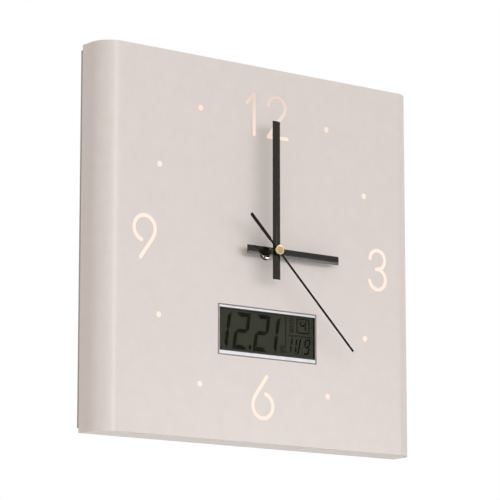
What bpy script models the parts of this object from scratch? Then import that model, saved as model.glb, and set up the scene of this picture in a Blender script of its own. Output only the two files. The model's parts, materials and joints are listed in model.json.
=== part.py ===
# Square wall clock with a calendar display: bent sheet case, lit cut-out dial,
# battery movement with its wheel train, display module, hanger and wiring.
# Metres, +X right, +Y into the wall, +Z up. The origin lies on the back face,
# behind the middle of the dial.
import math

import bmesh
import bpy

# Clearances and meshing
GAP = 0.0003              # between pieces that rest on or fit in each other
OVERRUN = 0.004           # how far a cutter runs past the wall that it cuts
FUSE = 0.0003             # how deep joined shapes run into each other
ROUND_STEPS = 24          # sides of a large round piece
SMALL_STEPS = 16          # sides of a small round piece
BEND_STEPS = 12           # steps in a bend of the sheet

# Case
BODY_W = 0.355
BODY_H = 0.346
BODY_D = 0.036            # face of the sheet to the wall
SHEET_T = 0.0015
BEND_R = 0.020            # outer radius of the two upright bends
PANEL_T = 0.002
PANEL_INSET = 0.0045      # back panel below the case's top and above its bottom
TAB_L = 0.018            # folded tab at each end of the top and bottom plates
TAB_D = 0.014

# Dial
DIAL_MARGIN = 0.048       # edge of the face to the row of the upper and lower dots
DIAL_R = min(BODY_W, BODY_H) / 2 - DIAL_MARGIN
DOT_D = 0.0053
SIDE_DOT_SHARE = 0.9345   # how far out the dots beside 3 and 9 lie, of DIAL_R
GLYPH_H = 0.038           # height of a numeral along its stroke's middle
STROKE_W = 0.004
TWELVE_ASIDE, TWELVE_OUT = 0.0028, 0.0033     # numerals' middles, from the dial's axes and DIAL_R
THREE_ASIDE, THREE_OUT = -0.0010, 0.0075
SIX_ASIDE, SIX_OUT = -0.0023, 0.0065
NINE_ASIDE, NINE_OUT = 0.0003, 0.0075
NUMERAL_12 = (TWELVE_ASIDE, DIAL_R + TWELVE_OUT)
NUMERAL_3 = (DIAL_R + THREE_OUT, THREE_ASIDE)
NUMERAL_6 = (SIX_ASIDE, -DIAL_R - SIX_OUT)
NUMERAL_9 = (-DIAL_R - NINE_OUT, NINE_ASIDE)
ARC_STEPS = 11

# Calendar display
LCD_W = 0.112
LCD_H = 0.046
LCD_X = 0.0032
LCD_DROP_SHARE = 0.5746   # its middle, on the way from the movement down to the 6
LCD_BAR_SIDE = 0.0023
LCD_BAR_TOP = 0.0038
LCD_BAR_BOTTOM = 0.0050
LCD_BEZEL_D = 0.0030
LCD_WINDOW_T = 0.0008
LCD_WINDOW_SUNK = 0.0006
LCD_WALL = 0.0012
LCD_RIM = 0.0030          # how far the display's housing stands past its frame
LCD_HOUSING_D = 0.0105
LCD_BOARD_T = 0.0016
LCD_BOARD_SUNK = 0.0030
LCD_LUG_R = 0.0045
LCD_LUG_OUT = 0.0040
LCD_STUD_R = 0.0015
LCD_NUT_R = 0.0030
LCD_NUT_T = 0.0024
SWITCH_W = 0.0060
SWITCH_D = 0.0030

# Set buttons
BUTTON_R = 0.0035
BUTTON_STEM_R = 0.0015
BUTTON_PITCH = 0.016
BUTTON_CAP_L = 0.0040
BUTTON_SUNK = 0.0003
BUTTON_TRAVEL = 0.0008
BUTTON_COUNT = 3

# Diffuser and lights
DIFFUSER_SIDE = 0.0315    # from the case's sides
DIFFUSER_END = 0.011      # from the case's top and bottom
DIFFUSER_W = BODY_W - 2 * DIFFUSER_SIDE
DIFFUSER_H = BODY_H - 2 * DIFFUSER_END
DIFFUSER_T = 0.0020
STRIP_W = 0.008
STRIP_T = 0.0012
STRIP_END = 0.048         # from each end of a strip to the case's corner
STRIP_L = min(BODY_W, BODY_H) - 2 * STRIP_END
STRIP_Y = -0.0150         # middle of the light strips
CHIP_W = 0.0035
CHIP_T = 0.0016
CHIPS_A_SIDE = 8

# Posts, screws and panel windows
POST_R = 0.0045
POST_BORE_R = 0.0019
POST_BORE_L = 0.011
POST_IN_X = 0.0235        # posts' middles from the case's sides
POST_IN_Z = 0.023
POST_X = BODY_W / 2 - POST_IN_X
POST_Z = BODY_H / 2 - POST_IN_Z
SCREW_R = 0.0016
SCREW_L = 0.0090
SCREW_HEAD_R = 0.0031
SCREW_HEAD_T = 0.0013
DOOR_WINDOW_W = 0.080
DOOR_WINDOW_H = 0.022
DOOR_LAP = 0.0040
DOOR_T = 0.0010
DOOR_TRAVEL = 0.068
DOOR_SLOT_W = 0.008
DOOR_SLOT_H = 0.012
DOOR_SLOT_IN = 0.0010
KNOB_WINDOW = 0.020         # side of the square window behind the set knob
GUIDE_LIP = 0.0030
GUIDE_T = 0.0010
GUIDE_FOOT = 0.0070
HANGER_DOWN = 0.045       # its middle from the case's top
HANGER_Z = BODY_H / 2 - HANGER_DOWN
HANGER_W = 0.060
HANGER_H = 0.044
HANGER_T = 0.0015
HANGER_WINDOW_W = 0.030
HANGER_WINDOW_H = 0.030
HEAD_W = 0.0120           # entry for a wall screw's head
HEAD_H = 0.0110
NECK_W = 0.0060           # slot that the wall screw's neck rises into
NECK_H = 0.0090
CABLE_WINDOW_W = 0.026
CABLE_WINDOW_H = 0.016
GROMMET_WALL = 0.0020
GROMMET_LIP = 0.0020
GROMMET_LIP_T = 0.0010

# Power parts
DRIVER_W = 0.080
DRIVER_H = 0.030
DRIVER_D = 0.022
DRIVER_FROM_POST = 0.0175
DRIVER_UP = 0.036         # its middle from the case's bottom
DRIVER_X = -POST_X + POST_R + DRIVER_FROM_POST + DRIVER_W / 2
DRIVER_Z = DRIVER_UP - BODY_H / 2
TERMINAL_W = 0.028
TERMINAL_H = 0.016
TERMINAL_D = 0.014
TERMINAL_FROM_DRIVER = 0.010
TERMINAL_UP = 0.033       # its middle and the cable entry's, from the case's bottom
TERMINAL_X = DRIVER_X + DRIVER_W / 2 + TERMINAL_FROM_DRIVER + TERMINAL_W / 2
TERMINAL_Z = TERMINAL_UP - BODY_H / 2
CABLE_FROM_TERMINAL = 0.011
CABLE_X = TERMINAL_X + TERMINAL_W / 2 + CABLE_FROM_TERMINAL + CABLE_WINDOW_W / 2
CABLE_Z = TERMINAL_Z
TERMINAL_SCREW_R = 0.0020
TERMINAL_SCREW_T = 0.0010
TERMINAL_WAYS = 2
POWER_SWITCH_W = 0.020
POWER_SWITCH_H = 0.008
POWER_SWITCH_D = 0.007
SWITCH_FROM_DRIVER = 0.018
POWER_SWITCH_X = DRIVER_X
POWER_SWITCH_Z = DRIVER_Z + DRIVER_H / 2 + SWITCH_FROM_DRIVER + POWER_SWITCH_H / 2
SLIDER_W = 0.0040
SLIDER_H = 0.0036
SLIDER_TRAVEL = 0.0040
SLIDER_SUNK = 0.0004
WIRE_R = 0.0008

# Movement case
MOVE_W = 0.056
MOVE_TOP = 0.032
MOVE_BOTTOM = 0.024
MOVE_WALL = 0.0010
MOVE_D = 0.0152
MOVE_COVER_T = 0.0010
BAY_H = 0.0152            # inside height of the battery bay
CELL_AA_R = 0.00715
CELL_AA_L = 0.0492
NUB_R = 0.0027
NUB_L = 0.0013
CONTACT_T = 0.0004
CONTACT_W = 0.0100
BUSH_R = 0.0040
BUSH_BORE_R = 0.0029
BUSH_OUT = 0.0030         # bush before the dial's face
BUSH_FLANGE_R = 0.0056
BUSH_FLANGE_T = 0.0006
WASHER_R = 0.0062
WASHER_T = 0.0005
NUT_R = 0.0058
NUT_T = 0.0019
NUT_EDGE = 0.0004
KNOB_R = 0.0065
KNOB_D = 0.0040
KNOB_SHAFT_R = 0.0015
KNOB_RIBS = 14
KNOB_RIB_D = 0.0004

# Wheel train: layers from the front of the movement to its back
WHEEL_T = 0.0008
LAYER_GAP = 0.0006
BRIDGE_T = 0.0008
CENTRE_DISTANCE = 0.01275     # third arbor from the middle
SPUR_DISTANCE = 0.0126        # intermediate arbor from the middle
MOTION_DISTANCE = 0.0120      # minute wheel from the middle and from the knob
ROTOR_DISTANCE = 0.0096
THIRD_ANGLE = math.radians(200)
SPUR_ANGLE = math.radians(25)
MOTION_ANGLE = math.radians(-90)
KNOB_ANGLE = math.radians(-30)
ROTOR_ANGLE = math.radians(-15)
SECOND_TEETH, SECOND_LEAVES = 48, 6
THIRD_TEETH, THIRD_LEAVES = 45, 6
CENTRE_TEETH = 48
SPUR_TEETH, SPUR_LEAVES = 40, 8
ROTOR_LEAVES = 8
CANNON_LEAVES, MINUTE_TEETH = 12, 36
MINUTE_LEAVES, HOUR_TEETH = 10, 40
KNOB_LEAVES = 12
TIP_SHARE = 0.62          # tooth above and below the pitch line, of the module
ROOT_SHARE = 1.05
TIP_WIDTH_SHARE = 0.13    # half width of a tooth, of its pitch angle
FOOT_WIDTH_SHARE = 0.215
ARBOR_R = 0.0005
PIVOT_R = 0.0003
PIVOT_L = 0.0005
PIVOT_PLAY = 0.0002
STUD_R = 0.0007
MAGNET_R = 0.0030
MAGNET_T = 0.0018
STATOR_T = 0.0010
STATOR_ARM = 0.0024
STATOR_RING = 0.0024
COIL_R = 0.0030
COIL_L = 0.0090
COIL_FLANGE_T = 0.0008
COIL_WIND_R = 0.0026
COIL_Z = -0.0130
BOARD_W = 0.014
BOARD_H = 0.012
BOARD_T = 0.0010
BOARD_X = -0.0185
BOARD_Z = -0.0165

# Hands, measured forward from the dial's face to each hand's middle
SECOND_ARBOR_R = 0.0006
MINUTE_BORE_R = 0.0009
MINUTE_ARBOR_R = 0.0016
HOUR_BORE_R = 0.0019
HOUR_TUBE_R = 0.0026
HAND_T = 0.0010
HOUR_HAND_OUT = 0.0090
HOUR_HAND_W = 0.0080
HOUR_HAND_L = 0.0780
HOUR_HAND_TAIL = 0.0265
MINUTE_HAND_OUT = 0.0173
MINUTE_HAND_W = 0.0080
MINUTE_HAND_L = 0.1194
MINUTE_HAND_TAIL = 0.0265
SECOND_HAND_OUT = 0.0200
SECOND_ROD_W = 0.0015
SECOND_ROD_L = 0.1210
SECOND_TAIL_W = 0.0032
SECOND_TAIL_L = 0.0420
SECOND_TAIL_START = 0.0120
SECOND_HUB_R = 0.0038
SECOND_HAND_T = 0.0006
TUBE_PAST_HAND = 0.0008
HOUR_AT = math.radians(90)         # clockwise from 12
MINUTE_AT = math.radians(0)
SECOND_AT = math.radians(134.5)
CAP_R = 0.0044
CAP_FRONT_R = 0.0034
CAP_D = 0.0022
CAP_BACK_R = 0.0030
CAP_STEP = 0.0007
CAP_SIDES = 6

# Planes worked out from the sizes above
FACE_Y = -BODY_D
SHEET_BACK_Y = FACE_Y + SHEET_T
CASE_BACK_Y = -PANEL_T - GAP
PANEL_FRONT_Y = -PANEL_T
DIFFUSER_Y = SHEET_BACK_Y + GAP
DIFFUSER_BACK_Y = DIFFUSER_Y + DIFFUSER_T
PANEL_H = BODY_H - 2 * PANEL_INSET
LUG_Y = DIFFUSER_BACK_Y + GAP
MOVE_Y = DIFFUSER_BACK_Y + GAP
MOVE_INNER_Y = MOVE_Y + MOVE_WALL
MOVE_RIM_Y = MOVE_Y + MOVE_D
MOVE_COVER_Y = MOVE_RIM_Y + GAP
BUSH_FLANGE_Y = MOVE_INNER_Y + GAP
CAVITY_X = MOVE_W / 2 - MOVE_WALL
CAVITY_LOW = -MOVE_BOTTOM + MOVE_WALL
BAY_TOP = MOVE_TOP - MOVE_WALL
BAY_LOW = BAY_TOP - BAY_H
BAY_MIDDLE_Z = (BAY_LOW + BAY_TOP) / 2
CAVITY_TOP = BAY_LOW - MOVE_WALL
DOOR_Z = BAY_MIDDLE_Z
SIX_TOP = NUMERAL_6[1] + GLYPH_H / 2 + STROKE_W / 2
LCD_Z = -MOVE_BOTTOM + LCD_DROP_SHARE * (SIX_TOP + MOVE_BOTTOM)
HOUR_WHEEL_Y = BUSH_FLANGE_Y + BUSH_FLANGE_T + LAYER_GAP
MINUTE_WHEEL_Y = HOUR_WHEEL_Y + WHEEL_T + LAYER_GAP
BRIDGE_Y = MINUTE_WHEEL_Y + WHEEL_T + LAYER_GAP
CENTRE_WHEEL_Y = BRIDGE_Y + BRIDGE_T + LAYER_GAP
THIRD_WHEEL_Y = CENTRE_WHEEL_Y + WHEEL_T + LAYER_GAP
SECOND_WHEEL_Y = THIRD_WHEEL_Y + WHEEL_T + LAYER_GAP
SPUR_WHEEL_Y = SECOND_WHEEL_Y + WHEEL_T + LAYER_GAP
MAGNET_Y = SPUR_WHEEL_Y + WHEEL_T + LAYER_GAP


def polar(distance, angle, start=(0, 0)):
    """A place in the dial's plane, at an angle from +X towards +Z."""
    return start[0] + distance * math.cos(angle), start[1] + distance * math.sin(angle)


CENTRE = (0, 0)
THIRD_AT = polar(CENTRE_DISTANCE, THIRD_ANGLE)
SPUR_AT = polar(SPUR_DISTANCE, SPUR_ANGLE)
ROTOR_AT = polar(ROTOR_DISTANCE, ROTOR_ANGLE, SPUR_AT)
MINUTE_WHEEL_AT = polar(MOTION_DISTANCE, MOTION_ANGLE)
KNOB_AT = polar(MOTION_DISTANCE, KNOB_ANGLE, MINUTE_WHEEL_AT)


# Materials
def material(name, colour, roughness, metallic=0.0):
    """A Principled material with a colour, a roughness and a metallic value."""
    made = bpy.data.materials.new(name)
    made.use_nodes = True
    shader = made.node_tree.nodes["Principled BSDF"]
    shader.inputs["Base Color"].default_value = (*colour, 1)
    shader.inputs["Roughness"].default_value = roughness
    shader.inputs["Metallic"].default_value = metallic
    made.diffuse_color = (*colour, 1)
    return made


def clear_scene():
    """Remove every object of the scene that the script is run in."""
    for old in list(bpy.data.objects):
        bpy.data.objects.remove(old, do_unlink=True)


clear_scene()
PAINT = material("case_paint", (0.72, 0.68, 0.65), 0.45)
STEEL = material("zinc_steel", (0.55, 0.56, 0.58), 0.35, 1.0)
CHROME = material("chrome", (0.80, 0.81, 0.83), 0.12, 1.0)
OPAL = material("opal_acrylic", (0.95, 0.90, 0.80), 0.50)
BEZEL = material("silver_plastic", (0.78, 0.78, 0.82), 0.30, 0.4)
GLASS = material("display_window", (0.06, 0.06, 0.045), 0.08)
DISPLAY = material("display_glass", (0.045, 0.045, 0.033), 0.25)
HOUSING = material("housing_plastic", (0.10, 0.10, 0.11), 0.55)
MOVEMENT = material("movement_plastic", (0.06, 0.06, 0.07), 0.50)
GEAR = material("gear_plastic", (0.80, 0.78, 0.72), 0.45)
BRASS = material("brass", (0.78, 0.62, 0.35), 0.25, 1.0)
HAND = material("hand_black", (0.02, 0.018, 0.018), 0.40)
BOARD = material("circuit_board", (0.05, 0.25, 0.12), 0.50)
COPPER = material("copper_winding", (0.60, 0.25, 0.12), 0.35, 1.0)
CELL = material("cell_jacket", (0.15, 0.22, 0.30), 0.35, 0.5)
RUBBER = material("rubber", (0.03, 0.03, 0.03), 0.80)
KNOB = material("control_plastic", (0.55, 0.55, 0.57), 0.50)
WIRE = material("wire_jacket", (0.70, 0.10, 0.08), 0.50)


# Shapes as closed meshes
def prism(outline, low, high, axis="Y"):
    """An outline of (across, up) points, drawn out along an axis."""
    place = {"Y": lambda u, v, w: (u, w, v),
             "Z": lambda u, v, w: (u, v, w),
             "X": lambda u, v, w: (w, u, v)}[axis]
    shape = bmesh.new()
    first = [shape.verts.new(place(u, v, low)) for u, v in outline]
    last = [shape.verts.new(place(u, v, high)) for u, v in outline]
    count = len(outline)
    shape.faces.new(first)
    shape.faces.new(reversed(last))
    for i in range(count):
        j = (i + 1) % count
        shape.faces.new((first[i], last[i], last[j], first[j]))
    bmesh.ops.recalc_face_normals(shape, faces=shape.faces)
    return shape


def box(x_low, x_high, y_low, y_high, z_low, z_high):
    """A block between its lowest and highest corners."""
    outline = [(x_low, z_low), (x_high, z_low), (x_high, z_high), (x_low, z_high)]
    return prism(outline, y_low, y_high)


def block(middle_x, middle_z, width, height, y_low, y_high):
    """A block given by its middle, width and height in the dial's plane."""
    return box(middle_x - width / 2, middle_x + width / 2, y_low, y_high,
               middle_z - height / 2, middle_z + height / 2)


def turned(profile, at=CENTRE, steps=SMALL_STEPS, axis="Y", level=0):
    """A profile of (radius, place) turned about a line along Y, or along X.

    A profile that starts and ends on the line is closed there. Any other is a
    ring, whose last point joins its first.
    """
    shape = bmesh.new()
    rows = []
    for radius, along in profile:
        row = []
        for step in range(steps if radius else 1):
            turn = 2 * math.pi * step / steps
            u, v = radius * math.cos(turn), radius * math.sin(turn)
            if axis == "Y":
                row.append(shape.verts.new((at[0] + u, along, at[1] + v)))
            else:
                row.append(shape.verts.new((along, level + u, at[1] + v)))
        rows.append(row)
    ring = profile[0][0] > 0
    for i in range(len(rows) if ring else len(rows) - 1):
        here, there = rows[i], rows[(i + 1) % len(rows)]
        for step in range(steps):
            after = (step + 1) % steps
            corners = [here[step % len(here)], here[after % len(here)],
                       there[after % len(there)], there[step % len(there)]]
            corners = list(dict.fromkeys(corners))
            if len(corners) > 2:
                shape.faces.new(corners)
    bmesh.ops.recalc_face_normals(shape, faces=shape.faces)
    return shape


def rod(radius, y_low, y_high, at=CENTRE, steps=SMALL_STEPS):
    """A plain round bar along Y."""
    return turned([(0, y_low), (radius, y_low), (radius, y_high), (0, y_high)], at, steps)


def sleeve(bore, radius, y_low, y_high, at=CENTRE, steps=SMALL_STEPS):
    """A plain round tube along Y."""
    profile = [(bore, y_low), (radius, y_low), (radius, y_high), (bore, y_high)]
    return turned(profile, at, steps)


# Objects
SMOOTH_ANGLE = math.radians(35)


def node(name, shape, look, origin=(0, 0, 0)):
    """An object with the mesh of a shape, whose origin lies on its joint's axis."""
    bmesh.ops.translate(shape, vec=[-part for part in origin], verts=shape.verts)
    mesh = bpy.data.meshes.new(name)
    shape.to_mesh(mesh)
    shape.free()
    mesh.shade_smooth()
    mesh.set_sharp_from_angle(angle=SMOOTH_ANGLE)
    mesh.materials.append(look)
    made = bpy.data.objects.new(name, mesh)
    made.location = origin
    bpy.context.collection.objects.link(made)
    return made


def tool_object(made, shape, number, kind):
    """A hidden object that a Boolean of the made object works with."""
    mesh = bpy.data.meshes.new(made.name + "_" + kind + str(number))
    shape.to_mesh(mesh)
    shape.free()
    tool = bpy.data.objects.new(mesh.name, mesh)
    tool.hide_render = True
    tool.display_type = "WIRE"
    bpy.context.collection.objects.link(tool)
    return tool


def work(made, shapes, operation, kind):
    """Join the shapes to an object, or cut them out of it."""
    for number, shape in enumerate(shapes):
        change = made.modifiers.new(kind + str(number), "BOOLEAN")
        change.operation = operation
        change.solver = "EXACT"
        change.object = tool_object(made, shape, number, kind)
    return made


def cut(made, shapes):
    return work(made, shapes, "DIFFERENCE", "cut")


def fuse(made, shapes):
    return work(made, shapes, "UNION", "fuse")


# Case: the bent sheet with its cut-out dial
def arc(middle, radius, start, end, steps):
    """Points on a round stretch, its angles in degrees from +X towards +Z."""
    turns = [math.radians(start + (end - start) * i / steps) for i in range(steps + 1)]
    return [polar(radius, turn, middle) for turn in turns]


def bent_outline(inset, back_y):
    """The case's cross-section seen from above, as (x, y), drawn in by an inset."""
    half = BODY_W / 2 - inset
    radius = BEND_R - inset
    front = FACE_Y + inset
    left = arc((-half + radius, front + radius), radius, 180, 270, BEND_STEPS)
    right = arc((half - radius, front + radius), radius, 270, 360, BEND_STEPS)
    return [(-half, back_y)] + left + right + [(half, back_y)]


def stroke(points, width=STROKE_W, cap_steps=5):
    """The outline of a round-ended stroke along a path of (x, z) points."""
    half = width / 2
    sides = ([], [])
    for i, point in enumerate(points):
        before, after = points[max(i - 1, 0)], points[min(i + 1, len(points) - 1)]
        run = math.atan2(after[1] - before[1], after[0] - before[0])
        sides[0].append(polar(half, run + math.pi / 2, point))
        sides[1].append(polar(half, run - math.pi / 2, point))
    ends = []
    for point, near in ((points[-1], points[-2]), (points[0], points[1])):
        run = math.atan2(point[1] - near[1], point[0] - near[0])
        turns = [run + math.pi / 2 - math.pi * k / cap_steps for k in range(1, cap_steps)]
        ends.append([polar(half, turn, point) for turn in turns])
    return sides[0] + ends[0] + sides[1][::-1] + ends[1]


def curve_between(start, start_pull, end_pull, end, steps=ARC_STEPS):
    """Points on a smooth curve that leaves and arrives towards its pull points."""
    points = []
    for i in range(steps + 1):
        t = i / steps
        weights = ((1 - t) ** 3, 3 * t * (1 - t) ** 2, 3 * t * t * (1 - t), t ** 3)
        corners = (start, start_pull, end_pull, end)
        points.append(tuple(sum(w * c[k] for w, c in zip(weights, corners)) for k in (0, 1)))
    return points


# Numerals drawn about their own middle, in shares of the numeral's height
ONE_SHARES = ((-0.61, 0.24), (-0.387, 0.508), (-0.389, -0.508))
TWO_BOWL_SHARES = (0.300, 0.252, 0.255)
TWO_FOOT_SHARES = ((0.029, -0.508), (0.608, -0.495))
SIX_BOWL_SHARE = 0.295
SIX_DROP_SHARE = 0.205
SIX_TAIL_SHARES = ((-0.295, 0.13), (-0.13, 0.36), (0.118, 0.500))
THREE_TOP_SHARES = (0.0, 0.252, 0.236)
THREE_LOW_SHARES = (0.0, -0.235, 0.255)
THREE_ARM_SHARE = (-0.035, 0.012)


def placed(points, middle, turned_over=False):
    """Shares of the numeral's height, moved to the middle of a numeral."""
    scale = -GLYPH_H if turned_over else GLYPH_H
    return [(middle[0] + scale * u, middle[1] + scale * v) for u, v in points]


def numeral_strokes():
    """The strokes of 12, 3, 6 and 9, each as one outline."""
    bowl_x, bowl_z, bowl_r = TWO_BOWL_SHARES
    two = arc((bowl_x, bowl_z), bowl_r, 176, -38, ARC_STEPS) + [TWO_FOOT_SHARES[0]]
    ring = arc((0, -SIX_DROP_SHARE), SIX_BOWL_SHARE, 74, -180, 2 * ARC_STEPS)
    tail_pull, tail_bend, tail_end = SIX_TAIL_SHARES
    ring += curve_between(ring[-1], tail_pull, tail_bend, tail_end)[1:]
    top_x, top_z, top_r = THREE_TOP_SHARES
    three_top = arc((top_x, top_z), top_r, 176, -70, ARC_STEPS) + [THREE_ARM_SHARE]
    low_x, low_z, low_r = THREE_LOW_SHARES
    three_low = arc((low_x, low_z), low_r, 68, -168, ARC_STEPS)
    paths = [placed(ONE_SHARES[:2], NUMERAL_12), placed(ONE_SHARES[1:], NUMERAL_12),
             placed(two, NUMERAL_12), placed(TWO_FOOT_SHARES, NUMERAL_12),
             placed(three_top, NUMERAL_3), placed(three_low, NUMERAL_3),
             placed(ring, NUMERAL_6), placed(ring, NUMERAL_9, turned_over=True)]
    return [stroke(path) for path in paths]


def dot_places():
    """The eight dots: two to each side of 12 and 6, two beside 3 and 9."""
    near = DIAL_R * math.tan(math.radians(30))
    side = DIAL_R * SIDE_DOT_SHARE
    low = side * math.tan(math.radians(30))
    places = [(sx * near, sz * DIAL_R) for sx in (-1, 1) for sz in (-1, 1)]
    return places + [(sx * side, sz * low) for sx in (-1, 1) for sz in (-1, 1)]


POST_PLACES = [(sx * POST_X, sz * POST_Z) for sx in (-1, 1) for sz in (-1, 1)]
LCD_STUD_X = LCD_W / 2 + LCD_RIM + LCD_LUG_OUT
LCD_STUD_PLACES = [(LCD_X + sx * LCD_STUD_X, LCD_Z) for sx in (-1, 1)]
ROOT_Y = SHEET_BACK_Y - FUSE


def posts_and_studs():
    """Welded threaded posts for the back panel, and studs for the display."""
    back = PANEL_FRONT_Y - GAP
    profile = [(0, ROOT_Y), (POST_R, ROOT_Y), (POST_R, back), (POST_BORE_R, back),
               (POST_BORE_R, back - POST_BORE_L), (0, back - POST_BORE_L)]
    stud_end = LUG_Y + LCD_WALL + 2 * GAP + LCD_NUT_T
    shapes = [turned(profile, at) for at in POST_PLACES]
    return shapes + [rod(LCD_STUD_R, ROOT_Y, stud_end, at=at) for at in LCD_STUD_PLACES]


def front_cover():
    outline = bent_outline(0, CASE_BACK_Y) + bent_outline(SHEET_T, CASE_BACK_Y)[::-1]
    cover = node("front_cover", prism(outline, -BODY_H / 2, BODY_H / 2, "Z"), PAINT)
    through = (FACE_Y - OVERRUN, SHEET_BACK_Y + OVERRUN)
    holes = [prism(outline, *through) for outline in numeral_strokes()]
    holes += [rod(DOT_D / 2, *through, at=place) for place in dot_places()]
    holes.append(block(LCD_X, LCD_Z, LCD_W, LCD_H, *through))
    holes.append(rod(BUSH_R + GAP, *through, steps=ROUND_STEPS))
    cut(cover, holes)
    return fuse(cover, posts_and_studs())


def end_plate(name, side):
    """A plate that closes the bent sheet's top or bottom, with a folded tab at each end."""
    near, far = side * (BODY_H / 2 - SHEET_T), side * BODY_H / 2
    outline = bent_outline(SHEET_T + GAP, CASE_BACK_Y)
    plate = node(name, prism(outline, *sorted((near, far)), "Z"), PAINT)
    outer = BODY_W / 2 - SHEET_T - 2 * GAP
    tab_z = sorted((near + side * FUSE, near - side * TAB_L))
    tabs = []
    for sx in (-1, 1):
        span = sorted((sx * outer, sx * (outer - SHEET_T)))
        tabs.append(box(*span, CASE_BACK_Y - GAP - TAB_D, CASE_BACK_Y - GAP, *tab_z))
    return fuse(plate, tabs)


# Back panel and its screws
BUTTON_PLACES = [(LCD_X + (i - (BUTTON_COUNT - 1) / 2) * BUTTON_PITCH, LCD_Z)
                 for i in range(BUTTON_COUNT)]
PANEL_THROUGH = (-PANEL_T - OVERRUN, OVERRUN)


def back_panel():
    shape = block(0, 0, BODY_W, PANEL_H, -PANEL_T, 0)
    panel = node("back_panel", shape, PAINT)
    neck, head = SCREW_R + GAP, SCREW_HEAD_R + GAP
    sunk = SCREW_HEAD_T + GAP
    wide = head + (head - neck) * GAP / sunk
    countersink = [(0, PANEL_THROUGH[0]), (neck, PANEL_THROUGH[0]), (neck, -sunk), (wide, GAP),
                   (wide, OVERRUN), (0, OVERRUN)]
    holes = [turned(countersink, place) for place in POST_PLACES]
    holes += [rod(BUTTON_R + GAP, *PANEL_THROUGH, at=place) for place in BUTTON_PLACES]
    holes += [block(*KNOB_AT, KNOB_WINDOW, KNOB_WINDOW, *PANEL_THROUGH),
              block(0, DOOR_Z, DOOR_WINDOW_W, DOOR_WINDOW_H, *PANEL_THROUGH),
              block(0, HANGER_Z, HANGER_WINDOW_W, HANGER_WINDOW_H, *PANEL_THROUGH),
              block(CABLE_X, CABLE_Z, CABLE_WINDOW_W, CABLE_WINDOW_H, *PANEL_THROUGH),
              block(POWER_SWITCH_X, POWER_SWITCH_Z, SLIDER_W + SLIDER_TRAVEL + 2 * GAP,
                    SLIDER_H + 2 * GAP, *PANEL_THROUGH)]
    return cut(panel, holes)


def panel_screws():
    """Countersunk screws, flush with the back panel."""
    head = SCREW_HEAD_R - GAP
    profile = [(0, -SCREW_L), (SCREW_R, -SCREW_L), (SCREW_R, -SCREW_HEAD_T - GAP),
               (head, -GAP), (0, -GAP)]
    for number, (x, z) in enumerate(POST_PLACES):
        node("panel_screw_" + str(number + 1), turned(profile, (x, z)), STEEL, (x, 0, z))


def hanger_plate():
    """A steel plate with a slot that a wall screw's head enters and rises in."""
    back = PANEL_FRONT_Y - GAP
    plate = node("hanger_plate", block(0, HANGER_Z, HANGER_W, HANGER_H, back - HANGER_T, back),
                 STEEL)
    foot = HANGER_Z - (HEAD_H + NECK_H) / 2
    outline = [(-HEAD_W / 2, foot), (HEAD_W / 2, foot), (HEAD_W / 2, foot + HEAD_H),
               (NECK_W / 2, foot + HEAD_H), (NECK_W / 2, foot + HEAD_H + NECK_H),
               (-NECK_W / 2, foot + HEAD_H + NECK_H), (-NECK_W / 2, foot + HEAD_H),
               (-HEAD_W / 2, foot + HEAD_H)]
    return cut(plate, [prism(outline, back - HANGER_T - OVERRUN, back + OVERRUN)])


DOOR_W = DOOR_WINDOW_W + 2 * DOOR_LAP
DOOR_H = DOOR_WINDOW_H + 2 * DOOR_LAP
DOOR_BACK_Y = PANEL_FRONT_Y - GAP


def access_door():
    """The sheet door that slides behind the battery window, with a finger slot."""
    shape = block(0, DOOR_Z, DOOR_W, DOOR_H, DOOR_BACK_Y - DOOR_T, DOOR_BACK_Y)
    door = node("access_door", shape, PAINT)
    slot_x = -DOOR_WINDOW_W / 2 + DOOR_SLOT_IN + DOOR_SLOT_W / 2
    return cut(door, [block(slot_x, DOOR_Z, DOOR_SLOT_W, DOOR_SLOT_H,
                            DOOR_BACK_Y - DOOR_T - OVERRUN, DOOR_BACK_Y + OVERRUN)])


def door_guides():
    """Two rails on the back panel that hold the door's upper and lower edge."""
    edge = DOOR_H / 2 + GAP
    lip_back = DOOR_BACK_Y - DOOR_T - GAP
    corners = [(DOOR_BACK_Y, edge), (DOOR_BACK_Y, edge + GUIDE_FOOT),
               (DOOR_BACK_Y - GUIDE_T, edge + GUIDE_FOOT),
               (DOOR_BACK_Y - GUIDE_T, edge + GUIDE_T), (lip_back - GUIDE_T, edge + GUIDE_T),
               (lip_back - GUIDE_T, edge - GUIDE_LIP), (lip_back, edge - GUIDE_LIP),
               (lip_back, edge)]
    for name, sz in (("door_rail_upper", 1), ("door_rail_lower", -1)):
        outline = [(y, DOOR_Z + sz * z) for y, z in corners]
        node(name, prism(outline, -DOOR_W / 2, DOOR_W / 2 + DOOR_TRAVEL, "X"), STEEL)


def cable_grommet():
    """A rubber frame in the window that the supply cable comes through."""
    width, height = CABLE_WINDOW_W - 2 * GAP, CABLE_WINDOW_H - 2 * GAP
    lip_back = PANEL_FRONT_Y - GAP
    lip = block(CABLE_X, CABLE_Z, CABLE_WINDOW_W + 2 * GROMMET_LIP,
                CABLE_WINDOW_H + 2 * GROMMET_LIP, lip_back - GROMMET_LIP_T, lip_back)
    grommet = node("cable_grommet", lip, RUBBER)
    fuse(grommet, [block(CABLE_X, CABLE_Z, width, height, lip_back - GROMMET_LIP_T / 2, -GAP)])
    return cut(grommet, [block(CABLE_X, CABLE_Z, width - 2 * GROMMET_WALL,
                               height - 2 * GROMMET_WALL, *PANEL_THROUGH)])


# Diffuser and lights
HOUSING_W = LCD_W + 2 * LCD_RIM
HOUSING_H = LCD_H + 2 * LCD_RIM


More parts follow.
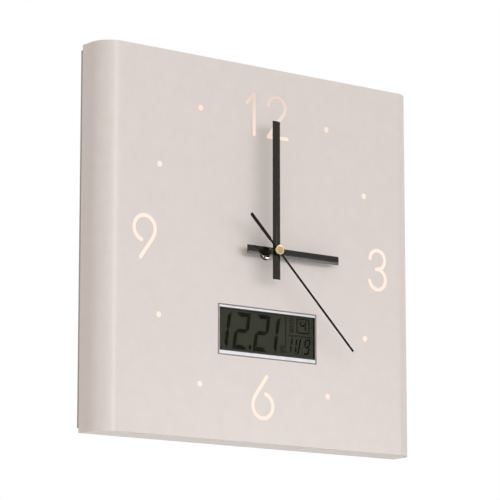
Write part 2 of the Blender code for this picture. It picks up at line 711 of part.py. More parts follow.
def diffuser_panel():
    """The opal sheet behind the cut-out numerals, cut out round the display."""
    panel = node("diffuser_panel", block(0, 0, DIFFUSER_W, DIFFUSER_H, DIFFUSER_Y,
                                         DIFFUSER_BACK_Y), OPAL)
    through = (DIFFUSER_Y - OVERRUN, DIFFUSER_BACK_Y + OVERRUN)
    holes = [block(LCD_X, LCD_Z, HOUSING_W + 2 * GAP, HOUSING_H + 2 * GAP, *through)]
    holes.append(rod(BUSH_R + GAP, *through, steps=ROUND_STEPS))
    holes += [rod(LCD_STUD_R + GAP, *through, at=place) for place in LCD_STUD_PLACES]
    return cut(panel, holes)


SIDE_INNER_X = BODY_W / 2 - SHEET_T
END_INNER_Z = BODY_H / 2 - SHEET_T
STRIP_SPAN = (STRIP_Y - STRIP_W / 2, STRIP_Y + STRIP_W / 2)
CHIP_SPAN = (STRIP_Y - CHIP_W / 2, STRIP_Y + CHIP_W / 2)


def light_strips():
    """Four lamp boards on the inner sides of the case, their lamps facing inwards."""
    for name, side, upright in (("light_strip_left", -1, True), ("light_strip_right", 1, True),
                                ("light_strip_bottom", -1, False),
                                ("light_strip_top", 1, False)):
        wall = SIDE_INNER_X if upright else END_INNER_Z
        wall -= GAP

        def lying(outer, inner, span, low, high):
            near, far = sorted((side * outer, side * inner))
            if upright:
                return box(near, far, *span, low, high)
            return box(low, high, *span, near, far)

        face = wall - STRIP_T
        strip = node(name, lying(wall, face, STRIP_SPAN, -STRIP_L / 2, STRIP_L / 2), BOARD)
        lamps = []
        for number in range(CHIPS_A_SIDE):
            along = STRIP_L * ((number + 0.5) / CHIPS_A_SIDE - 0.5)
            lamps.append(lying(face + FUSE, face - CHIP_T, CHIP_SPAN, along - CHIP_W / 2,
                               along + CHIP_W / 2))
        fuse(strip, lamps)


# Power parts, carried by the back panel
POWER_BACK_Y = PANEL_FRONT_Y - GAP


def light_driver():
    return node("light_driver", block(DRIVER_X, DRIVER_Z, DRIVER_W, DRIVER_H,
                                      POWER_BACK_Y - DRIVER_D, POWER_BACK_Y), HOUSING)


def terminal_block():
    """The block that the supply cable's cores are clamped in, with its screws' wells."""
    front = POWER_BACK_Y - TERMINAL_D
    shape = block(TERMINAL_X, TERMINAL_Z, TERMINAL_W, TERMINAL_H, front, POWER_BACK_Y)
    terminal = node("terminal_block", shape, KNOB)
    wells = []
    for number in range(TERMINAL_WAYS):
        x = TERMINAL_X + TERMINAL_W * ((number + 0.5) / TERMINAL_WAYS - 0.5)
        wells.append(rod(TERMINAL_SCREW_R, front - OVERRUN, front + TERMINAL_SCREW_T,
                         at=(x, TERMINAL_Z)))
    return cut(terminal, wells)


def light_switch():
    """A slide switch behind the back panel, its slider in a slot of the panel."""
    node("light_switch_body", block(POWER_SWITCH_X, POWER_SWITCH_Z, POWER_SWITCH_W,
                                    POWER_SWITCH_H, POWER_BACK_Y - POWER_SWITCH_D,
                                    POWER_BACK_Y), HOUSING)
    place = (POWER_SWITCH_X - SLIDER_TRAVEL / 2, PANEL_FRONT_Y, POWER_SWITCH_Z)
    shape = block(place[0], place[2], SLIDER_W, SLIDER_H, PANEL_FRONT_Y, -SLIDER_SUNK)
    node("light_switch_slider", shape, KNOB, place)


WIRE_STEPS = 5


def smooth_route(points, steps=WIRE_STEPS):
    """Points on a smooth curve through a wire's own points."""
    ends = [points[0]] + list(points) + [points[-1]]
    route = []
    for a, b, c, d in zip(ends, ends[1:], ends[2:], ends[3:]):
        for i in range(steps):
            t = i / steps
            weights = ((-t + 2 * t * t - t ** 3) / 2, (2 - 5 * t * t + 3 * t ** 3) / 2,
                       (t + 4 * t * t - 3 * t ** 3) / 2, (t ** 3 - t * t) / 2)
            route.append(tuple(sum(w * p[k] for w, p in zip(weights, (a, b, c, d)))
                               for k in range(3)))
    return route + [points[-1]]


def wire(name, route):
    """A jacketed wire along a route, fixed at both ends."""
    curve = bpy.data.curves.new(name, "CURVE")
    curve.dimensions = "3D"
    curve.bevel_depth = WIRE_R
    curve.bevel_resolution = 1
    curve.use_fill_caps = True
    points = smooth_route(route)
    spline = curve.splines.new("POLY")
    spline.points.add(len(points) - 1)
    for point, place in zip(spline.points, points):
        point.co = (*place, 1)
    curve.materials.append(WIRE)
    bpy.context.collection.objects.link(bpy.data.objects.new(name, curve))


def wiring():
    """The wires from the terminal block to the driver, and on to the display."""
    block_left = TERMINAL_X - TERMINAL_W / 2 - GAP
    driver_right = DRIVER_X + DRIVER_W / 2 + GAP
    middle_y = POWER_BACK_Y - TERMINAL_D / 2
    wire("supply_wire", [(block_left, middle_y, TERMINAL_Z),
                         ((block_left + driver_right) / 2, middle_y, TERMINAL_Z + WIRE_R),
                         (driver_right, middle_y, TERMINAL_Z)])
    driver_top = DRIVER_Z + DRIVER_H / 2 + GAP
    start_x = DRIVER_X + DRIVER_W / 4
    cover_back = HOUSING_BACK_Y + GAP + LCD_WALL + GAP
    end_x = LCD_X - HOUSING_W / 4
    wire("display_wire", [(start_x, STRIP_Y, driver_top),
                          (start_x, STRIP_Y, driver_top + TERMINAL_H),
                          ((start_x + end_x) / 2, STRIP_Y, LCD_Z - HOUSING_H / 4),
                          (end_x, STRIP_Y, LCD_Z), (end_x, cover_back, LCD_Z)])


# Movement case, battery and bush


def movement_case():
    """A tray open to the back: the wheels' room below, the battery bay above."""
    shape = box(-MOVE_W / 2, MOVE_W / 2, MOVE_Y, MOVE_RIM_Y, -MOVE_BOTTOM, MOVE_TOP)
    case = node("movement_case", shape, MOVEMENT)
    inside = (MOVE_INNER_Y, MOVE_RIM_Y + OVERRUN)
    cut(case, [box(-CAVITY_X, CAVITY_X, *inside, CAVITY_LOW, CAVITY_TOP),
               box(-CAVITY_X, CAVITY_X, *inside, BAY_LOW, BAY_TOP),
               rod(BUSH_R + GAP, MOVE_Y - OVERRUN, MOVE_INNER_Y + OVERRUN, steps=ROUND_STEPS)])
    stud_root = MOVE_INNER_Y - MOVE_WALL / 2
    return fuse(case, [rod(STUD_R, stud_root, BRIDGE_Y - GAP, MINUTE_WHEEL_AT)])


def train_bridge():
    """The plate between the hands' wheels and the train, with its pivot holes."""
    low, high = CAVITY_LOW + GAP, CAVITY_TOP - GAP
    shape = box(-CAVITY_X + GAP, CAVITY_X - GAP, BRIDGE_Y, BRIDGE_Y + BRIDGE_T, low, high)
    bridge = node("train_bridge", shape, MOVEMENT)
    through = (BRIDGE_Y - OVERRUN, BRIDGE_Y + BRIDGE_T + OVERRUN)
    holes = [rod(MINUTE_ARBOR_R + PIVOT_PLAY, *through),
             rod(KNOB_SHAFT_R + PIVOT_PLAY, *through, at=KNOB_AT)]
    holes += [rod(PIVOT_R + PIVOT_PLAY, *through, at=at) for at in (THIRD_AT, SPUR_AT, ROTOR_AT)]
    return cut(bridge, holes)


def movement_cover():
    """The cover over the wheels, with blind pivot holes on its inside."""
    back = MOVE_COVER_Y + MOVE_COVER_T
    shape = box(-MOVE_W / 2, MOVE_W / 2, MOVE_COVER_Y, back, -MOVE_BOTTOM, CAVITY_TOP)
    cover = node("movement_cover", shape, MOVEMENT)
    blind = (MOVE_COVER_Y - OVERRUN, MOVE_COVER_Y + PIVOT_L + PIVOT_PLAY)
    holes = [rod(PIVOT_R + PIVOT_PLAY, *blind, at=at)
             for at in (CENTRE, THIRD_AT, SPUR_AT, ROTOR_AT)]
    holes.append(rod(KNOB_SHAFT_R + PIVOT_PLAY, MOVE_COVER_Y - OVERRUN, back + OVERRUN,
                     at=KNOB_AT))
    return cut(cover, holes)


def movement_bush():
    """The flanged tube that clamps the movement to the face and guides the hour tube."""
    front = FACE_Y - BUSH_OUT
    flange_back = BUSH_FLANGE_Y + BUSH_FLANGE_T
    profile = [(BUSH_BORE_R, front), (BUSH_R, front), (BUSH_R, BUSH_FLANGE_Y),
               (BUSH_FLANGE_R, BUSH_FLANGE_Y), (BUSH_FLANGE_R, flange_back),
               (BUSH_BORE_R, flange_back)]
    return node("movement_bush", turned(profile, steps=ROUND_STEPS), CHROME)


def bush_washer():
    back = FACE_Y - GAP
    return node("bush_washer", sleeve(BUSH_R + GAP, WASHER_R, back - WASHER_T, back,
                                      steps=ROUND_STEPS), CHROME)


def bush_nut():
    back = FACE_Y - GAP - WASHER_T - GAP
    front = back - NUT_T
    profile = [(BUSH_R + GAP, front), (NUT_R - NUT_EDGE, front), (NUT_R, front + NUT_EDGE),
               (NUT_R, back), (BUSH_R + GAP, back)]
    return node("bush_nut", turned(profile, steps=ROUND_STEPS), CHROME)


BATTERY_Y = MOVE_INNER_Y + GAP + CELL_AA_R


def battery():
    """A round cell that lies across the bay, its pole to the right."""
    end = -(CELL_AA_L + NUB_L) / 2
    profile = [(0, end), (CELL_AA_R, end), (CELL_AA_R, end + CELL_AA_L),
               (NUB_R, end + CELL_AA_L), (NUB_R, -end), (0, -end)]
    return node("battery", turned(profile, (0, BAY_MIDDLE_Z), ROUND_STEPS, "X", BATTERY_Y), CELL)


def battery_contacts():
    """Two sprung strips, each a flat V between the bay's end wall and the cell."""
    cell_end = (CELL_AA_L + NUB_L) / 2 + GAP
    wall = CAVITY_X - GAP
    low, high = BATTERY_Y - CONTACT_W / 2, BATTERY_Y + CONTACT_W / 2
    for name, side in (("battery_contact_minus", -1), ("battery_contact_plus", 1)):
        outline = [(wall - CONTACT_T, low), (wall, low), (wall, high), (wall - CONTACT_T, high),
                   (wall - CONTACT_T, BATTERY_Y + CONTACT_T), (cell_end, BATTERY_Y),
                   (wall - CONTACT_T, BATTERY_Y - CONTACT_T)]
        outline = [(side * x, y) for x, y in outline]
        node(name, prism(outline, BAY_MIDDLE_Z - CONTACT_W / 2, BAY_MIDDLE_Z + CONTACT_W / 2,
                         "Z"), STEEL)


# Motor
STATOR_Y = MAGNET_Y + (MAGNET_T - STATOR_T) / 2
STATOR_HOLE_R = MAGNET_R + 2 * PIVOT_PLAY


def stator():
    """A flat pole piece round the magnet, with two legs down to the coil."""
    x, z = ROTOR_AT
    top = z + STATOR_HOLE_R + STATOR_RING / 2
    legs = COIL_L / 2 + GAP
    low = COIL_Z - COIL_R
    shape = box(x - legs, x + legs, STATOR_Y, STATOR_Y + STATOR_T, low, top)
    plate = node("stator", shape, STEEL)
    through = (STATOR_Y - OVERRUN, STATOR_Y + STATOR_T + OVERRUN)
    window_top = z - STATOR_HOLE_R - STATOR_RING / 2
    window = box(x - legs + STATOR_ARM, x + legs - STATOR_ARM, *through, low - OVERRUN,
                 window_top)
    return cut(plate, [window, rod(STATOR_HOLE_R, *through, at=ROTOR_AT)])


def motor_coil():
    """The wound bobbin that lies across the stator's legs."""
    level = STATOR_Y - GAP - COIL_R
    left, right = ROTOR_AT[0] - COIL_L / 2, ROTOR_AT[0] + COIL_L / 2
    profile = [(0, left), (COIL_R, left), (COIL_R, left + COIL_FLANGE_T),
               (COIL_WIND_R, left + COIL_FLANGE_T), (COIL_WIND_R, right - COIL_FLANGE_T),
               (COIL_R, right - COIL_FLANGE_T), (COIL_R, right), (0, right)]
    return node("motor_coil", turned(profile, (0, COIL_Z), SMALL_STEPS, "X", level), COPPER)


def circuit_board():
    back = MOVE_COVER_Y - GAP
    return node("circuit_board", block(BOARD_X, BOARD_Z, BOARD_W, BOARD_H, back - BOARD_T, back),
                BOARD)


# Wheels
def module_of(distance, first_teeth, second_teeth):
    """The module at which two wheels mesh at a distance."""
    return 2 * distance / (first_teeth + second_teeth)


def toothed(at, teeth, module, phase, low, high):
    """A toothed wheel, one of whose teeth points along the phase angle."""
    pitch = 2 * math.pi / teeth
    tip = module * (teeth / 2 + TIP_SHARE)
    foot = module * (teeth / 2 - ROOT_SHARE)
    outline = []
    for number in range(teeth):
        middle = phase + number * pitch
        for radius, share in ((foot, -FOOT_WIDTH_SHARE), (tip, -TIP_WIDTH_SHARE),
                              (tip, TIP_WIDTH_SHARE), (foot, FOOT_WIDTH_SHARE)):
            outline.append(polar(radius, middle + share * pitch, at))
    return prism(outline, low, high)


def phase_facing(towards, teeth, other_teeth, other_phase):
    """The phase at which a wheel meshes with another that lies towards an angle."""
    other_pitch = 2 * math.pi / other_teeth
    passed = (towards + math.pi - other_phase) / other_pitch
    return towards - (0.5 - passed) * 2 * math.pi / teeth


def arbor_profile(front, back, radius=ARBOR_R):
    """A thin arbor with a pivot at each end, as a profile to turn."""
    return [(0, front - PIVOT_L), (PIVOT_R, front - PIVOT_L), (PIVOT_R, front),
            (radius, front), (radius, back), (PIVOT_R, back), (PIVOT_R, back + PIVOT_L),
            (0, back + PIVOT_L)]


def pinion_span(wheel_y):
    """A pinion one layer before a wheel, running into the wheel's own thickness."""
    return wheel_y - LAYER_GAP - WHEEL_T - FUSE, wheel_y + WHEEL_T / 2


TRAIN_FRONT = BRIDGE_Y + BRIDGE_T + GAP
TRAIN_BACK = MOVE_COVER_Y - GAP
SECOND_MODULE = module_of(SPUR_DISTANCE, SECOND_TEETH, SPUR_LEAVES)
SECOND_PINION_MODULE = module_of(CENTRE_DISTANCE, SECOND_LEAVES, THIRD_TEETH)
CENTRE_MODULE = module_of(CENTRE_DISTANCE, CENTRE_TEETH, THIRD_LEAVES)
ROTOR_MODULE = module_of(ROTOR_DISTANCE, ROTOR_LEAVES, SPUR_TEETH)
MINUTE_MODULE = module_of(MOTION_DISTANCE, CANNON_LEAVES, MINUTE_TEETH)
HOUR_MODULE = module_of(MOTION_DISTANCE, HOUR_TEETH, MINUTE_LEAVES)
SPUR_PHASE = ROTOR_ANGLE
MINUTE_PHASE = MOTION_ANGLE + math.pi


def rotor():
    """The magnet with its pinion, which the motor turns half a turn a second."""
    profile = arbor_profile(TRAIN_FRONT, TRAIN_BACK)
    profile[4:4] = [(ARBOR_R, MAGNET_Y), (MAGNET_R, MAGNET_Y), (MAGNET_R, MAGNET_Y + MAGNET_T),
                    (ARBOR_R, MAGNET_Y + MAGNET_T)]
    x, z = ROTOR_AT
    made = node("rotor", turned(profile, ROTOR_AT), GEAR, (x, MAGNET_Y, z))
    facing = ROTOR_ANGLE + math.pi
    phase = phase_facing(facing, ROTOR_LEAVES, SPUR_TEETH, SPUR_PHASE)
    span = (SPUR_WHEEL_Y - FUSE, MAGNET_Y + FUSE)
    return fuse(made, [toothed(ROTOR_AT, ROTOR_LEAVES, ROTOR_MODULE, phase, *span)])


def intermediate_wheel():
    x, z = SPUR_AT
    made = node("intermediate_wheel", turned(arbor_profile(TRAIN_FRONT, TRAIN_BACK), SPUR_AT),
                GEAR, (x, SPUR_WHEEL_Y, z))
    wheel = toothed(SPUR_AT, SPUR_TEETH, ROTOR_MODULE, SPUR_PHASE, SPUR_WHEEL_Y,
                    SPUR_WHEEL_Y + WHEEL_T)
    pinion = toothed(SPUR_AT, SPUR_LEAVES, SECOND_MODULE, SPUR_ANGLE + math.pi,
                     *pinion_span(SPUR_WHEEL_Y))
    return fuse(made, [wheel, pinion])


def second_wheel():
    """The seconds arbor, from the hand back through the tubes, with wheel and pinion."""
    front = FACE_Y - SECOND_HAND_OUT - SECOND_HAND_T / 2
    profile = [(0, front), (SECOND_ARBOR_R, front)] + arbor_profile(0, TRAIN_BACK,
                                                                   SECOND_ARBOR_R)[4:]
    made = node("second_wheel", turned(profile), GEAR, (0, SECOND_WHEEL_Y, 0))
    phase = phase_facing(SPUR_ANGLE, SECOND_TEETH, SPUR_LEAVES, SPUR_ANGLE + math.pi)
    wheel = toothed(CENTRE, SECOND_TEETH, SECOND_MODULE, phase, SECOND_WHEEL_Y,
                    SECOND_WHEEL_Y + WHEEL_T)
    pinion = toothed(CENTRE, SECOND_LEAVES, SECOND_PINION_MODULE, THIRD_ANGLE,
                     *pinion_span(SECOND_WHEEL_Y))
    return fuse(made, [wheel, pinion])


def third_wheel():
    x, z = THIRD_AT
    made = node("third_wheel", turned(arbor_profile(TRAIN_FRONT, TRAIN_BACK), THIRD_AT), GEAR,
                (x, THIRD_WHEEL_Y, z))
    facing = THIRD_ANGLE + math.pi
    phase = phase_facing(facing, THIRD_TEETH, SECOND_LEAVES, THIRD_ANGLE)
    wheel = toothed(THIRD_AT, THIRD_TEETH, SECOND_PINION_MODULE, phase, THIRD_WHEEL_Y,
                    THIRD_WHEEL_Y + WHEEL_T)
    pinion = toothed(THIRD_AT, THIRD_LEAVES, CENTRE_MODULE, facing,
                     *pinion_span(THIRD_WHEEL_Y))
    return fuse(made, [wheel, pinion])


def centre_wheel():
    """The wheel that turns once an hour and grips the minute arbor with its bore."""
    phase = phase_facing(THIRD_ANGLE, CENTRE_TEETH, THIRD_LEAVES, THIRD_ANGLE + math.pi)
    span = (CENTRE_WHEEL_Y, CENTRE_WHEEL_Y + WHEEL_T)
    made = node("centre_wheel", toothed(CENTRE, CENTRE_TEETH, CENTRE_MODULE, phase, *span),
                GEAR, (0, CENTRE_WHEEL_Y, 0))
    return cut(made, [rod(MINUTE_ARBOR_R + PIVOT_PLAY, span[0] - OVERRUN, span[1] + OVERRUN)])


def minute_arbor():
    """The minute tube with its pinion, from the minute hand back to the centre wheel."""
    front = FACE_Y - MINUTE_HAND_OUT - HAND_T / 2 - TUBE_PAST_HAND
    back = CENTRE_WHEEL_Y + WHEEL_T + LAYER_GAP / 2
    made = node("minute_arbor", rod(MINUTE_ARBOR_R, front, back), BRASS,
                (0, MINUTE_WHEEL_Y, 0))
    phase = phase_facing(MOTION_ANGLE, CANNON_LEAVES, MINUTE_TEETH, MINUTE_PHASE)
    pinion = toothed(CENTRE, CANNON_LEAVES, MINUTE_MODULE, phase, MINUTE_WHEEL_Y - FUSE,
                     MINUTE_WHEEL_Y + WHEEL_T + FUSE)
    fuse(made, [pinion])
    return cut(made, [rod(MINUTE_BORE_R, front - OVERRUN, back + OVERRUN)])


def minute_wheel():
    x, z = MINUTE_WHEEL_AT
    span = (MINUTE_WHEEL_Y, MINUTE_WHEEL_Y + WHEEL_T)
    made = node("minute_wheel", toothed(MINUTE_WHEEL_AT, MINUTE_TEETH, MINUTE_MODULE,
                                        MINUTE_PHASE, *span), GEAR, (x, MINUTE_WHEEL_Y, z))
    pinion = toothed(MINUTE_WHEEL_AT, MINUTE_LEAVES, HOUR_MODULE, MINUTE_PHASE,
                     *pinion_span(MINUTE_WHEEL_Y))
    fuse(made, [pinion])
    bore = rod(STUD_R + PIVOT_PLAY, pinion_span(MINUTE_WHEEL_Y)[0] - OVERRUN, span[1] + OVERRUN,
               MINUTE_WHEEL_AT)
    return cut(made, [bore])


def hour_wheel():
    """The hour tube with its wheel, running in the bush."""
    front = FACE_Y - HOUR_HAND_OUT - HAND_T / 2 - TUBE_PAST_HAND
    back = HOUR_WHEEL_Y + WHEEL_T + FUSE
    made = node("hour_wheel", rod(HOUR_TUBE_R, front, back, steps=ROUND_STEPS), MOVEMENT,
                (0, HOUR_WHEEL_Y, 0))
    phase = phase_facing(MOTION_ANGLE, HOUR_TEETH, MINUTE_LEAVES, MINUTE_PHASE)
    wheel = toothed(CENTRE, HOUR_TEETH, HOUR_MODULE, phase, HOUR_WHEEL_Y,
                    HOUR_WHEEL_Y + WHEEL_T)
    fuse(made, [wheel])
    return cut(made, [rod(HOUR_BORE_R, front - OVERRUN, back + OVERRUN, steps=ROUND_STEPS)])


def set_knob():
    """The ribbed knob behind the movement, its shaft and the pinion that sets the hands."""
    x, z = KNOB_AT
    knob_front = MOVE_COVER_Y + MOVE_COVER_T + GAP
    shaft = rod(KNOB_SHAFT_R, MOVE_INNER_Y + GAP, knob_front + KNOB_D / 2, KNOB_AT)
    made = node("set_knob", shaft, KNOB, (x, knob_front, z))
    facing = KNOB_ANGLE + math.pi
    phase = phase_facing(facing, KNOB_LEAVES, MINUTE_TEETH, MINUTE_PHASE)
    pinion = toothed(KNOB_AT, KNOB_LEAVES, MINUTE_MODULE, phase, MINUTE_WHEEL_Y,
                     MINUTE_WHEEL_Y + WHEEL_T)
    outline = []
    for number in range(2 * KNOB_RIBS):
        radius = KNOB_R - KNOB_RIB_D * (number % 2)
        outline.append(polar(radius, math.pi * number / KNOB_RIBS, KNOB_AT))
    return fuse(made, [pinion, prism(outline, knob_front, knob_front + KNOB_D)])


# Hands
def aimed(outline, clockwise):
    """An outline drawn along the 12 direction, turned clockwise about the middle."""
    c, s = math.cos(clockwise), math.sin(clockwise)
    return [(across * c + along * s, along * c - across * s) for across, along in outline]


def bar_hand(name, length, tail, width, out, clockwise, tube_r):
    """A flat bar with square ends and a hole for its tube."""
    half = width / 2
    outline = aimed([(-half, -tail), (half, -tail), (half, length), (-half, length)], clockwise)
    middle = FACE_Y - out
    span = (middle - HAND_T / 2, middle + HAND_T / 2)
    hand = node(name, prism(outline, *span), HAND, (0, middle, 0))
    return cut(hand, [rod(tube_r + GAP, span[0] - OVERRUN, span[1] + OVERRUN,
                          steps=ROUND_STEPS)])


def second_hand():
    """A thin rod with a round hub and a wider counterweight."""
    rod_half, tail_half = SECOND_ROD_W / 2, SECOND_TAIL_W / 2
    edge = math.degrees(math.asin(rod_half / SECOND_HUB_R))
    right = arc(CENTRE, SECOND_HUB_R, -90 + edge, 90 - edge, SMALL_STEPS)
    shoulder = SECOND_TAIL_START + tail_half
    half = [(rod_half, -SECOND_TAIL_START), *right, (rod_half, SECOND_ROD_L)]
    half = [(tail_half, -SECOND_TAIL_L), (tail_half, -shoulder)] + half
    outline = half + [(-across, along) for across, along in half[::-1]]
    middle = FACE_Y - SECOND_HAND_OUT
    span = (middle - SECOND_HAND_T / 2, middle + SECOND_HAND_T / 2)
    hand = node("second_hand", prism(aimed(outline, SECOND_AT), *span), HAND, (0, middle, 0))
    return cut(hand, [rod(SECOND_ARBOR_R + GAP, span[0] - OVERRUN, span[1] + OVERRUN)])


def hand_cap():
    """The brass cap on the seconds arbor: a round face on a six-sided foot."""
    back = FACE_Y - SECOND_HAND_OUT - SECOND_HAND_T / 2 - GAP
    front = back - CAP_D
    shoulder = front + CAP_D / 2
    profile = [(0, front), (CAP_FRONT_R, front), (CAP_R, front + CAP_STEP), (CAP_R, shoulder),
               (0, shoulder)]
    cap = node("hand_cap", turned(profile, steps=ROUND_STEPS), BRASS, (0, back, 0))
    foot = turned([(0, shoulder - FUSE), (CAP_BACK_R, shoulder - FUSE), (CAP_BACK_R, back),
                   (0, back)], steps=CAP_SIDES)
    return fuse(cap, [foot])


# Calendar display
BEZEL_BACK_Y = FACE_Y + LCD_BEZEL_D
HOUSING_Y = BEZEL_BACK_Y + GAP
HOUSING_BACK_Y = HOUSING_Y + LCD_HOUSING_D
LCD_BOARD_Y = HOUSING_Y + LCD_WALL + LCD_BOARD_SUNK
LCD_BOARD_BACK_Y = LCD_BOARD_Y + LCD_BOARD_T
OPENING_W = LCD_W - 2 * LCD_BAR_SIDE
OPENING_H = LCD_H - LCD_BAR_TOP - LCD_BAR_BOTTOM
OPENING_Z = LCD_Z + (LCD_BAR_BOTTOM - LCD_BAR_TOP) / 2
WINDOW_Y = FACE_Y + LCD_WINDOW_SUNK
DISPLAY_Y = WINDOW_Y + LCD_WINDOW_T + GAP / 2


def lcd_bezel():
    """The silver frame round the display, flush with the face."""
    frame = node("lcd_bezel", block(LCD_X, LCD_Z, LCD_W - 2 * GAP, LCD_H - 2 * GAP, FACE_Y,
                                    BEZEL_BACK_Y), BEZEL)
    return cut(frame, [block(LCD_X, OPENING_Z, OPENING_W, OPENING_H, FACE_Y - OVERRUN,
                             BEZEL_BACK_Y + OVERRUN)])


def lcd_glass():
    """The window and the display glass behind it, both inside the frame."""
    width, height = OPENING_W - 2 * GAP, OPENING_H - 2 * GAP
    node("lcd_window", block(LCD_X, OPENING_Z, width, height, WINDOW_Y,
                             WINDOW_Y + LCD_WINDOW_T), GLASS)
    node("lcd_panel", block(LCD_X, OPENING_Z, width, height, DISPLAY_Y, HOUSING_Y - GAP),
         DISPLAY)


def lcd_housing():
    """A tray open to the back, its front plate behind the display glass."""
    shape = block(LCD_X, LCD_Z, HOUSING_W, HOUSING_H, HOUSING_Y, HOUSING_BACK_Y)
    tray = node("lcd_housing", shape, HOUSING)
    lug_back = LUG_Y + LCD_WALL
    lugs = []
    for place, outward in zip(LCD_STUD_PLACES, (-1, 1)):
        root = place[0] - outward * (LCD_LUG_OUT + LCD_WALL / 2)
        tip = arc(place, LCD_LUG_R, -90 * outward, 90 * outward, SMALL_STEPS // 2)
        outline = [(root, LCD_Z - outward * LCD_LUG_R), *tip, (root, LCD_Z + outward * LCD_LUG_R)]
        lugs.append(prism(outline, LUG_Y, lug_back))
    fuse(tray, lugs)
    inside = block(LCD_X, LCD_Z, HOUSING_W - 2 * LCD_WALL, HOUSING_H - 2 * LCD_WALL,
                   HOUSING_Y + LCD_WALL, HOUSING_BACK_Y + OVERRUN)
    holes = [rod(LCD_STUD_R + GAP, LUG_Y - OVERRUN, lug_back + OVERRUN, at=place)
             for place in LCD_STUD_PLACES]
    return cut(tray, [inside] + holes)


def lcd_nuts():
    front = LUG_Y + LCD_WALL + 2 * GAP
    for number, place in enumerate(LCD_STUD_PLACES):
        profile = [(LCD_STUD_R + GAP, front), (LCD_NUT_R, front), (LCD_NUT_R, front + LCD_NUT_T),
                   (LCD_STUD_R + GAP, front + LCD_NUT_T)]
        node("lcd_nut_" + str(number + 1), turned(profile, place, CAP_SIDES), STEEL)


def lcd_board():
    """The display's circuit board with its three switches."""
    width, height = HOUSING_W - 2 * LCD_WALL - 2 * GAP, HOUSING_H - 2 * LCD_WALL - 2 * GAP
    board = node("lcd_board", block(LCD_X, LCD_Z, width, height, LCD_BOARD_Y,
                                    LCD_BOARD_BACK_Y), BOARD)
    return fuse(board, [block(*place, SWITCH_W, SWITCH_W, LCD_BOARD_BACK_Y - FUSE,
                              LCD_BOARD_BACK_Y + SWITCH_D) for place in BUTTON_PLACES])


def lcd_back_cover():
    low = HOUSING_BACK_Y + GAP
    shape = block(LCD_X, LCD_Z, HOUSING_W, HOUSING_H, low, low + LCD_WALL)
    cover = node("lcd_back_cover", shape, HOUSING)
    return cut(cover, [rod(BUTTON_STEM_R + GAP, low - OVERRUN, low + LCD_WALL + OVERRUN,
                           at=place) for place in BUTTON_PLACES])


def set_buttons():
    """Buttons sunk in the back panel, whose long stems reach the board's switches."""
    back = -BUTTON_SUNK
    cap_front = back - BUTTON_CAP_L
    stem_end = LCD_BOARD_BACK_Y + SWITCH_D + GAP + BUTTON_TRAVEL
    for number, (x, z) in enumerate(BUTTON_PLACES):
        profile = [(0, stem_end), (BUTTON_STEM_R, stem_end), (BUTTON_STEM_R, cap_front),
                   (BUTTON_R, cap_front), (BUTTON_R, back), (0, back)]
        node("set_button_" + str(number + 1), turned(profile, (x, z)), KNOB, (x, back, z))


# The whole clock
def build():
    front_cover()
    end_plate("top_plate", 1)
    end_plate("bottom_plate", -1)
    back_panel()
    panel_screws()
    hanger_plate()
    access_door()
    door_guides()
    cable_grommet()
    diffuser_panel()
    light_strips()
    light_driver()
    terminal_block()
    light_switch()
    wiring()
    movement_case()
    movement_cover()
    movement_bush()
    bush_washer()
    bush_nut()
    train_bridge()
    battery()
    battery_contacts()
    stator()
    motor_coil()
    circuit_board()
    rotor()
    intermediate_wheel()
    second_wheel()
    third_wheel()
    centre_wheel()
    minute_arbor()
    minute_wheel()
    hour_wheel()
    set_knob()
    bar_hand("hour_hand", HOUR_HAND_L, HOUR_HAND_TAIL, HOUR_HAND_W, HOUR_HAND_OUT, HOUR_AT,
             HOUR_TUBE_R)
    bar_hand("minute_hand", MINUTE_HAND_L, MINUTE_HAND_TAIL, MINUTE_HAND_W, MINUTE_HAND_OUT,
             MINUTE_AT, MINUTE_ARBOR_R)
    second_hand()
    hand_cap()
    lcd_bezel()
    lcd_glass()
    lcd_housing()
    lcd_nuts()
    lcd_board()
    lcd_back_cover()
    set_buttons()


build()
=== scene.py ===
# Looks of a square wall clock with a calendar display. Metres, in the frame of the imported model:
# +X right, +Y into the wall, +Z up, the origin behind the middle of the dial.
import json
import math

import bmesh
import bpy
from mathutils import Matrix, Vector

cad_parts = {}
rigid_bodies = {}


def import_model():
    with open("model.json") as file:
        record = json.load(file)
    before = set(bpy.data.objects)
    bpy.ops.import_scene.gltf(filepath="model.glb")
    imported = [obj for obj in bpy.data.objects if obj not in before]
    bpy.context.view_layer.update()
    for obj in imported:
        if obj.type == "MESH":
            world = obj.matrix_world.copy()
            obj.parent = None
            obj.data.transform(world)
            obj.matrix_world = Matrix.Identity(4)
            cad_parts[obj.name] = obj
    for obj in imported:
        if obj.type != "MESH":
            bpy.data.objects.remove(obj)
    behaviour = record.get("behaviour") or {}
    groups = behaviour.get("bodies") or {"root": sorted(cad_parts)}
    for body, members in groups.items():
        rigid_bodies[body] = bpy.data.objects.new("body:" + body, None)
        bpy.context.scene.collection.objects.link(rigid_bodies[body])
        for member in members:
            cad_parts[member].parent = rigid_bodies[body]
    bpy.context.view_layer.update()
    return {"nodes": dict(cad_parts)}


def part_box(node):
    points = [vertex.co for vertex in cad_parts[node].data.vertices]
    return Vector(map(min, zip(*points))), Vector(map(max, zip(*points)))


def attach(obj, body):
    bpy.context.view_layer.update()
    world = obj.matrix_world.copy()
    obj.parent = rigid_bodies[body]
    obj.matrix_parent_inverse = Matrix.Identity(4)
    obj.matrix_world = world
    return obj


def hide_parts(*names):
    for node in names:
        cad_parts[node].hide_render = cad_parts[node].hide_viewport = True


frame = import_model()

MM = 0.001
OVERRUN = 4 * MM          # how far a cutter runs past the wall that it cuts
EASE_ANGLE = 40           # degrees: edges that turn by more are eased
SMOOTH_ANGLE = 35         # degrees: edges that turn by less are shaded smooth
FACET_ANGLE = 15          # the same for flat pieces, to keep eased edges out of their shading
EASE_SEGMENTS = 2
